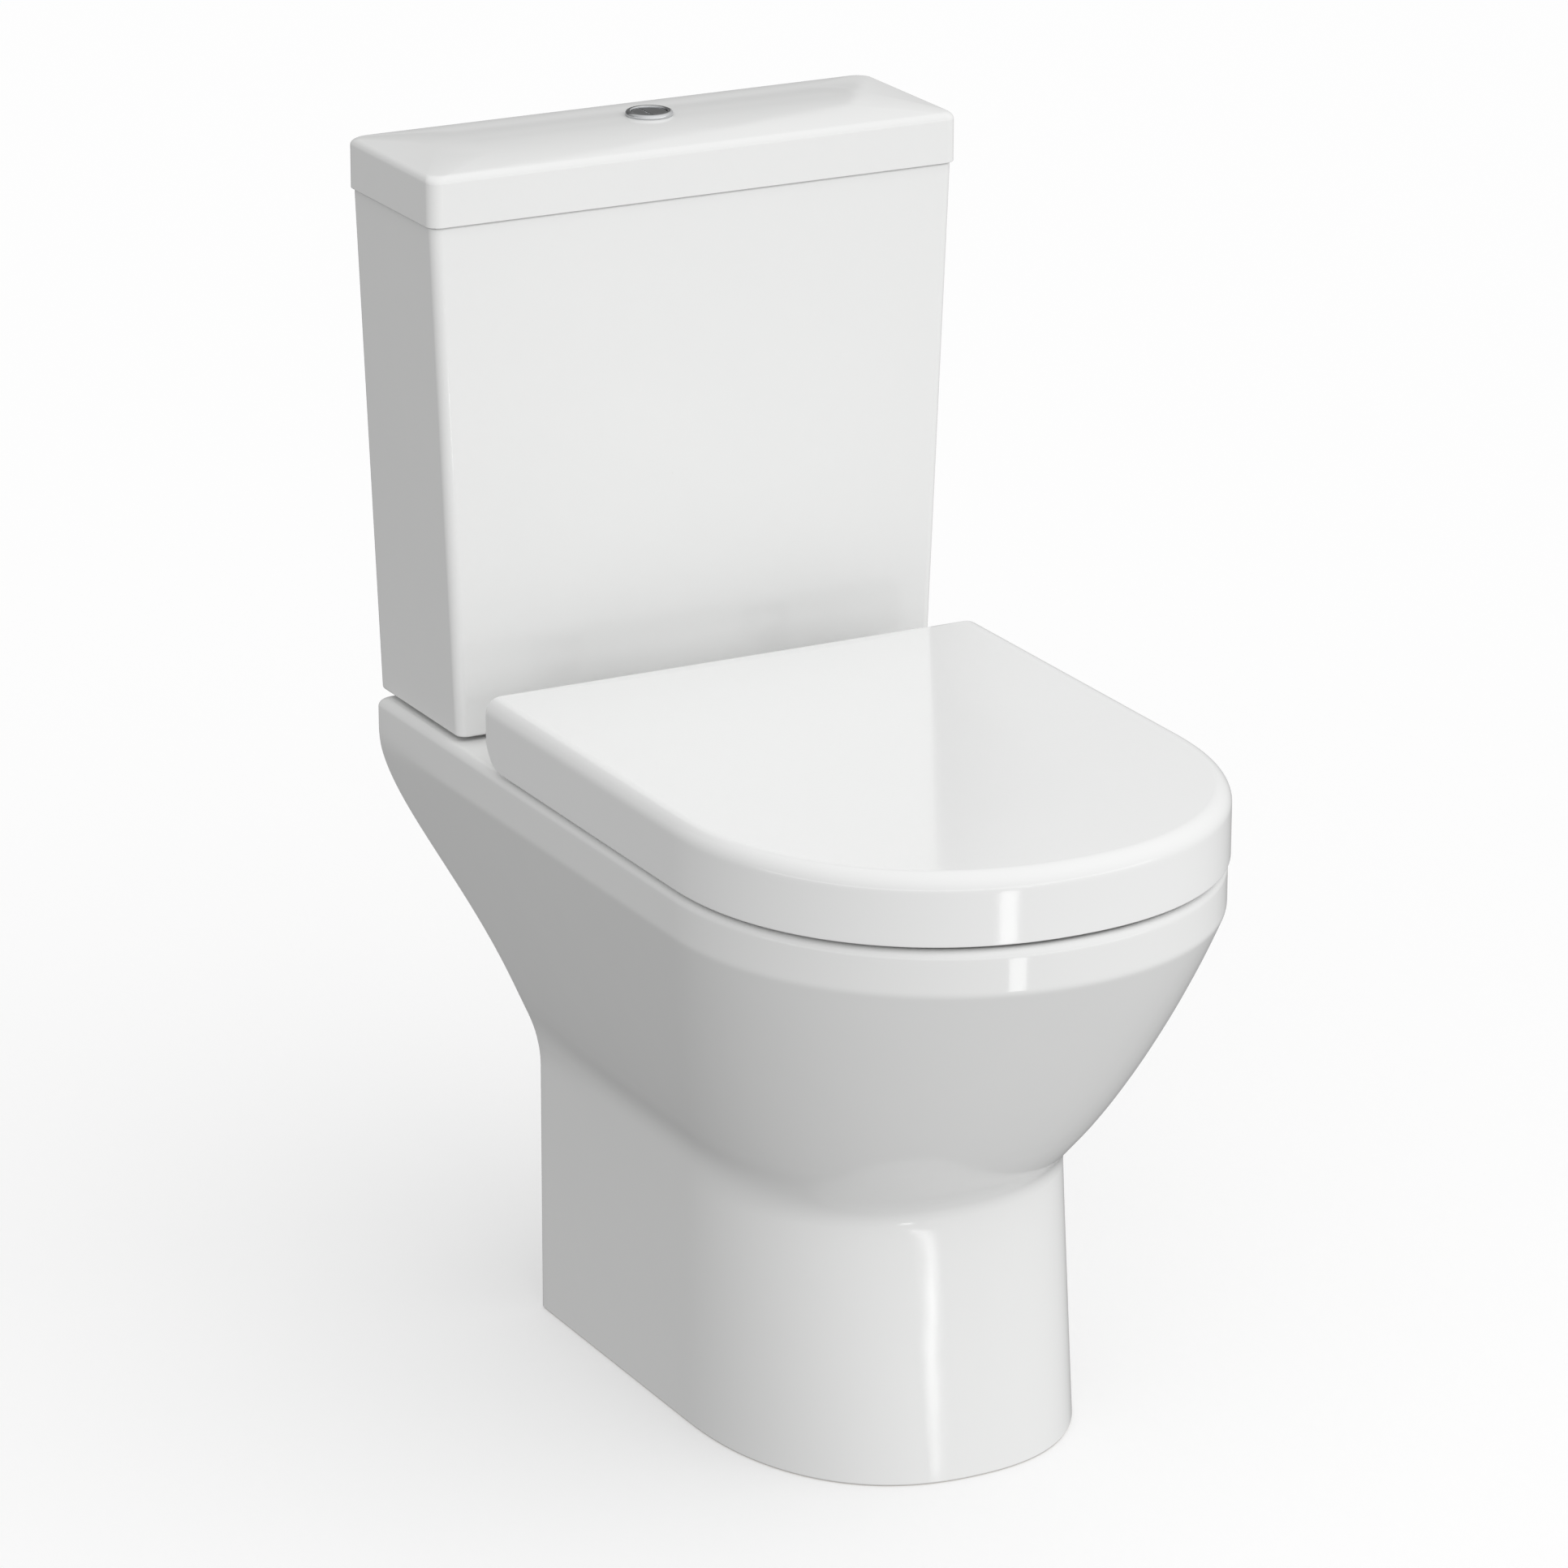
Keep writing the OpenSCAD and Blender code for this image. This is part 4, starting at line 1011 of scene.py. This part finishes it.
def ringSection(wide, thick):
    # once round the ring's cross section, from the hole's lower edge, as (outwards, upwards)
    s = ringShape
    foot, bevel = s["footRound"], s["footBevel"]
    turns = np.linspace(0, 90, 7)
    across, down = s["innerRoll"]
    outline = [(bevel, 0.0), (bevel * 0.3, bevel * 0.3), (0, bevel)]
    outline += quarterRound(0, thick, -across, down, turns)
    outline += [(mix(across, wide - s["outerRoll"][0], t), thick) for t in (0.25, 0.5, 0.75)]
    outline += quarterRound(wide, thick, *s["outerRoll"], turns[::-1])
    outline += quarterRound(wide, 0, foot, -foot, (0, 30, 60, 90))
    return outline


def makeSeatRing():
    s = ringShape
    h = hingeShape
    back = hingeAt.y - s["backGap"]
    outer = noseOutline(ringHigh.x, ringLow.y, noseStart, back, s["fullness"], s["corner"])
    centre = np.array((0.0, panShape["mouthMiddle"]))
    low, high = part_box("seat_buffers")[1].z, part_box("cover_buffers")[0].z
    # the hole is an egg, met by a straight line from its centre to each point outside
    bearing = outer - centre
    angle = np.arctan2(bearing[:, 1], bearing[:, 0])
    reach = np.where(bearing[:, 1] > 0, s["holeBack"] - centre[1], centre[1] - panLow.y - s["holeFront"])
    egg = np.arctan2(np.sin(angle) / reach, np.cos(angle) / s["holeHalf"])
    inner = centre + np.column_stack([s["holeHalf"] * np.cos(egg), reach * np.sin(egg)])
    sections = []
    for start, end in zip(inner, outer):
        wide = np.linalg.norm(end - start)
        way = (end - start) / wide
        sections.append(np.array([(*(start + way * u), low + v) for u, v in ringSection(wide, high - low)]))
    ring = ringBand("seatRing", sections)
    armIn, armOut = postX + h["ringLug"][0], postX + h["ringLug"][1]
    for side in (-1, 1):
        join(ring, hingeRod(side, armIn, armOut, h["ringLugRadius"]))
        join(ring, sideBlock(side, armIn, armOut, (back - 0.008, hingeAt.z - 0.009),
                             (hingeAt.y, hingeAt.z + 0.007)))
    for side in (-1, 1):
        cut(ring, hingeRod(side, armIn - past, armOut + past, h["pinBore"], 48))
    return finishPiece(smooth(ring, 32), "seat_ring")


makeSeatRing()


# Push button

buttonShape = {
    "sleeve": 0.0132,  # radius over the thread
    "threadPitch": 0.0014,
    "threadDepth": 0.0004,
    "rimRound": 0.0018,
    "wellRound": 0.0008,
    "wellGap": 0.0003,
    "webThick": 0.003,
    "stemHole": 0.0031,
    "bevel": 0.0004,
    "dish": 0.00035,  # hollow in the top of the two halves
    "split": (-0.0018, -0.0014),  # where the small half begins and where the large one ends
    "cap": 0.0026,
    "stem": 0.003,
    "edge": 0.00022,
}
springX = {spring: boxMiddle(spring).x for spring in ("full_spring", "half_spring")}


def makeBezel():
    s = buttonShape
    low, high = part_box("button_bezel")
    lidTop, web = lidHigh.z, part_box("full_spring")[0].z
    sleeve, rim, well = s["sleeve"], (high.x - low.x) / 2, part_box("full_button")[1].x + s["wellGap"]
    profile = [(well, low.z), (sleeve - 0.0006, low.z), (sleeve, low.z + 0.0006)]
    for z in np.arange(low.z + 0.002, web - 0.004, s["threadPitch"]):
        profile += [(sleeve, z), (sleeve - s["threadDepth"], z + s["threadPitch"] / 2)]
    profile += [(sleeve, web), (sleeve, lidTop), (rim - 0.0002, lidTop), (rim, lidTop + 0.0002)]
    profile += quarterRound(rim, high.z, s["rimRound"], s["rimRound"], np.linspace(0, 90, 8))
    profile += quarterRound(well, high.z, -s["wellRound"], s["wellRound"], np.linspace(90, 0, 5))
    bezel = turned("buttonBezel", profile, (0, buttonMiddle.y, 0), 128)
    join(bezel, rod("web", (0, buttonMiddle.y, 0), well + 0.0005, web - s["webThick"], web, 96))
    for x in springX.values():
        drill(bezel, x, buttonMiddle.y, s["stemHole"], web - s["webThick"] - past, web + past, 40)
    return finishPiece(smooth(bezel, 40), "button_bezel")


def makeButtonHalf(name, node, spring, keepRight):
    s = buttonShape
    low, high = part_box(node)
    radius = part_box("full_button")[1].x
    base = high.z - s["cap"]
    profile = [(0, base), (radius - 0.0003, base), (radius, base + 0.0003), (radius, high.z - s["bevel"])]
    profile += quarterRound(radius, high.z, s["bevel"], s["bevel"], np.linspace(20, 90, 5))
    profile += [(radius * t, high.z - s["dish"] * (1 - t * t)) for t in (0.85, 0.7, 0.5, 0.3, 0.12)]
    profile += [(0, high.z - s["dish"])]
    cap = turned(name, profile, (0, buttonMiddle.y, 0), 128)
    edge = s["split"][1] if keepRight else s["split"][0]
    ends = (-0.03, edge) if keepRight else (edge, 0.03)
    cut(cap, block("away", (ends[0], buttonMiddle.y - 0.03, base - 0.01),
                   (ends[1], buttonMiddle.y + 0.03, high.z + 0.01)))
    stem, top = s["stem"], base + 0.0004
    profile = [(0, low.z), (stem - 0.0005, low.z), (stem, low.z + 0.0005), (stem, top), (0, top)]
    join(cap, turned("stem", profile, (springX[spring], buttonMiddle.y, 0), 48))
    step = cap.modifiers.new("edges", "BEVEL")
    step.width, step.segments, step.limit_method, step.angle_limit = s["edge"], 2, "ANGLE", math.radians(60)
    return finishPiece(smooth(settle(cap, step), 40), node)


springShape = {
    "turns": 6,
    "wire": 0.0005,  # radius
    "endShare": 0.09,  # share of the turns in each closed end
    "around": 22,  # points in one turn
    "section": 10,  # points round the wire
}


def makeSpring(name, node):
    s = springShape
    low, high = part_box(node)
    middle = boxMiddle(node)
    wire = s["wire"]
    radius = (high.x - low.x) / 2 - wire
    total = s["turns"] * s["around"]
    rings = []
    for k in range(total + 1):
        turn = 2 * math.pi * k / s["around"]
        share = k / total
        risen = np.clip((share - s["endShare"]) / (1 - 2 * s["endShare"]), 0, 1)
        z = mix(low.z + wire, high.z - wire, 0.05 * share + 0.95 * risen)
        out = np.array((math.cos(turn), math.sin(turn), 0))
        spot = np.array((middle.x, middle.y, z)) + out * radius
        around = np.linspace(0, 2 * math.pi, s["section"], endpoint=False)[:, None]
        rings.append(spot + wire * 0.94 * (np.cos(around) * out + np.sin(around) * np.array((0, 0, 1.0))))
    coil = loft(name, [ring[::-1] for ring in rings])
    coil.data.shade_smooth()
    finishPiece(coil, node)
    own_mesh(coil)
    return coil


makeBezel()
makeButtonHalf("fullButton", "full_button", "full_spring", True)
makeButtonHalf("halfButton", "half_button", "half_spring", False)
makeSpring("fullSpring", "full_spring")
makeSpring("halfSpring", "half_spring")


# The other nodes keep their CAD shape

for name, node in frame["nodes"].items():
    if not node.hide_render:
        node.data.materials.clear()
        node.data.materials.append(finishes[slotOf[name]])
print("CAD nodes kept:", sum(not node.hide_render for node in frame["nodes"].values()))


# Floor, light and camera

studio = {
    "floorSize": 60.0,
    "floorColour": (0.80, 0.80, 0.80, 1),
    "floorGlow": 0.22,
    "level": 0.722,  # light from every side
    "lean": (0.18, -0.385, 0.355),  # more from the right, the front and above
    "screenEdge": 150.3,  # where the dark screen behind begins, in degrees from the front
    "screenBlur": 0.4,
    "screenFoot": (4.0, 10.0),  # elevations over which the screen comes in at its foot
    "screenTop": (34.0, 50.0),  # and goes out at its top
    "screenShade": 0.65,
    "backdrop": 0.97,  # the plain ground behind the floor
}
# lights that show in reflections: bearing from the front, its half width, lowest and highest, its lean, power
lightBoxes = (
    (3.3, 3.6, -27.0, -17.0, 0.0, 4.0),
    (3.9, 2.5, -8.0, -5.8, 6.0, 7.0),
    (-22.0, 80.0, -3.5, 3.0, 0.0, 1.4),
)


def makeFloor():
    side = studio["floorSize"] / 2
    floor = meshObject("floor", [(-side, -side, 0), (side, -side, 0), (side, side, 0), (-side, side, 0)],
                       [(0, 1, 2, 3)])
    material, tree, shader, spot, normal = startMaterial("studioFloor", 0.9, Specular_IOR_Level=0.0)
    tone = place(tree, "toneDrift", Vector=spot, Colour=studio["floorColour"], Amount=0.004,
                 Scale=0.7)["Colour"]
    tree.links.new(tone, shader.inputs["Base Color"])
    shader.inputs["Emission Color"].default_value = (1, 1, 1, 1)
    shader.inputs["Emission Strength"].default_value = studio["floorGlow"]
    floor.data.materials.append(material)
    floor.visible_diffuse = False
    floor.visible_glossy = False


def makeLight():
    world = bpy.data.worlds.new("studioLight")
    bpy.context.scene.world = world
    world.use_nodes = True
    tree = world.node_tree
    tree.nodes.clear()
    way = addNode(tree, "ShaderNodeTexCoord").outputs["Generated"]
    lean = addNode(tree, "ShaderNodeVectorMath", operation="DOT_PRODUCT", sockets={0: way, 1: studio["lean"]})
    soft = plus(tree, lean.outputs["Value"], studio["level"])
    parts = addNode(tree, "ShaderNodeSeparateXYZ", sockets={"Vector": way}).outputs
    turn = mathNode(tree, "ARCTAN2", parts["X"], times(tree, parts["Y"], -1.0))
    turn = times(tree, turn, 180 / math.pi)
    climb = times(tree, mathNode(tree, "ARCSINE", parts["Z"]), 180 / math.pi)
    edge, blur = studio["screenEdge"], studio["screenBlur"]
    behind = stretch(tree, mathNode(tree, "ABSOLUTE", turn), edge - blur, edge + blur)
    upright = times(tree, stretch(tree, climb, *studio["screenFoot"]),
                    stretch(tree, climb, *studio["screenTop"][::-1]))
    shade = times(tree, times(tree, behind, upright), studio["screenShade"])
    mirror = times(tree, soft, minus(tree, 1.0, shade))
    for bearing, half, low, high, tilt, power in lightBoxes:
        centre = times(tree, stretchStraight(tree, climb, low, high), tilt * (high - low))
        off = mathNode(tree, "ABSOLUTE", minus(tree, minus(tree, turn, bearing), centre))
        wide = stretch(tree, off, half * 1.05, half * 0.95)
        tall = times(tree, stretch(tree, climb, low - 0.1, low + 0.1),
                     stretch(tree, climb, high + 0.1, high - 0.1))
        mirror = plus(tree, mirror, times(tree, times(tree, wide, tall), power))
    rays = addNode(tree, "ShaderNodeLightPath").outputs
    light = addNode(tree, "ShaderNodeMix", data_type="FLOAT", sockets={
        0: rays["Is Glossy Ray"], 2: soft, 3: mirror})
    seen = addNode(tree, "ShaderNodeMix", data_type="FLOAT", sockets={
        0: rays["Is Camera Ray"], 2: light.outputs[0], 3: studio["backdrop"]})
    sky = addNode(tree, "ShaderNodeBackground", sockets={"Color": (1, 1, 1, 1), "Strength": seen.outputs[0]})
    out = addNode(tree, "ShaderNodeOutputWorld")
    tree.links.new(sky.outputs[0], out.inputs["Surface"])


cameraPlace = {
    "at": (-2.068, -3.811, 1.903),
    "turn": -28.056,
    "tilt": 70.912,
    "roll": 0.153,
    "lens": 166.1,
}


def makeCamera():
    camera = bpy.data.cameras.new("camera")
    camera.sensor_width, camera.lens, camera.clip_end = 36.0, cameraPlace["lens"], 100.0
    viewer = bpy.data.objects.new("camera", camera)
    viewer.matrix_world = (Matrix.Translation(cameraPlace["at"])
                           @ Matrix.Rotation(math.radians(cameraPlace["turn"]), 4, "Z")
                           @ Matrix.Rotation(math.radians(cameraPlace["tilt"]), 4, "X")
                           @ Matrix.Rotation(math.radians(cameraPlace["roll"]), 4, "Z"))
    bpy.context.scene.collection.objects.link(viewer)
    bpy.context.scene.camera = viewer


makeFloor()
makeLight()
makeCamera()
bpy.context.scene.view_settings.view_transform = "Standard"
print("floor, light and camera placed")
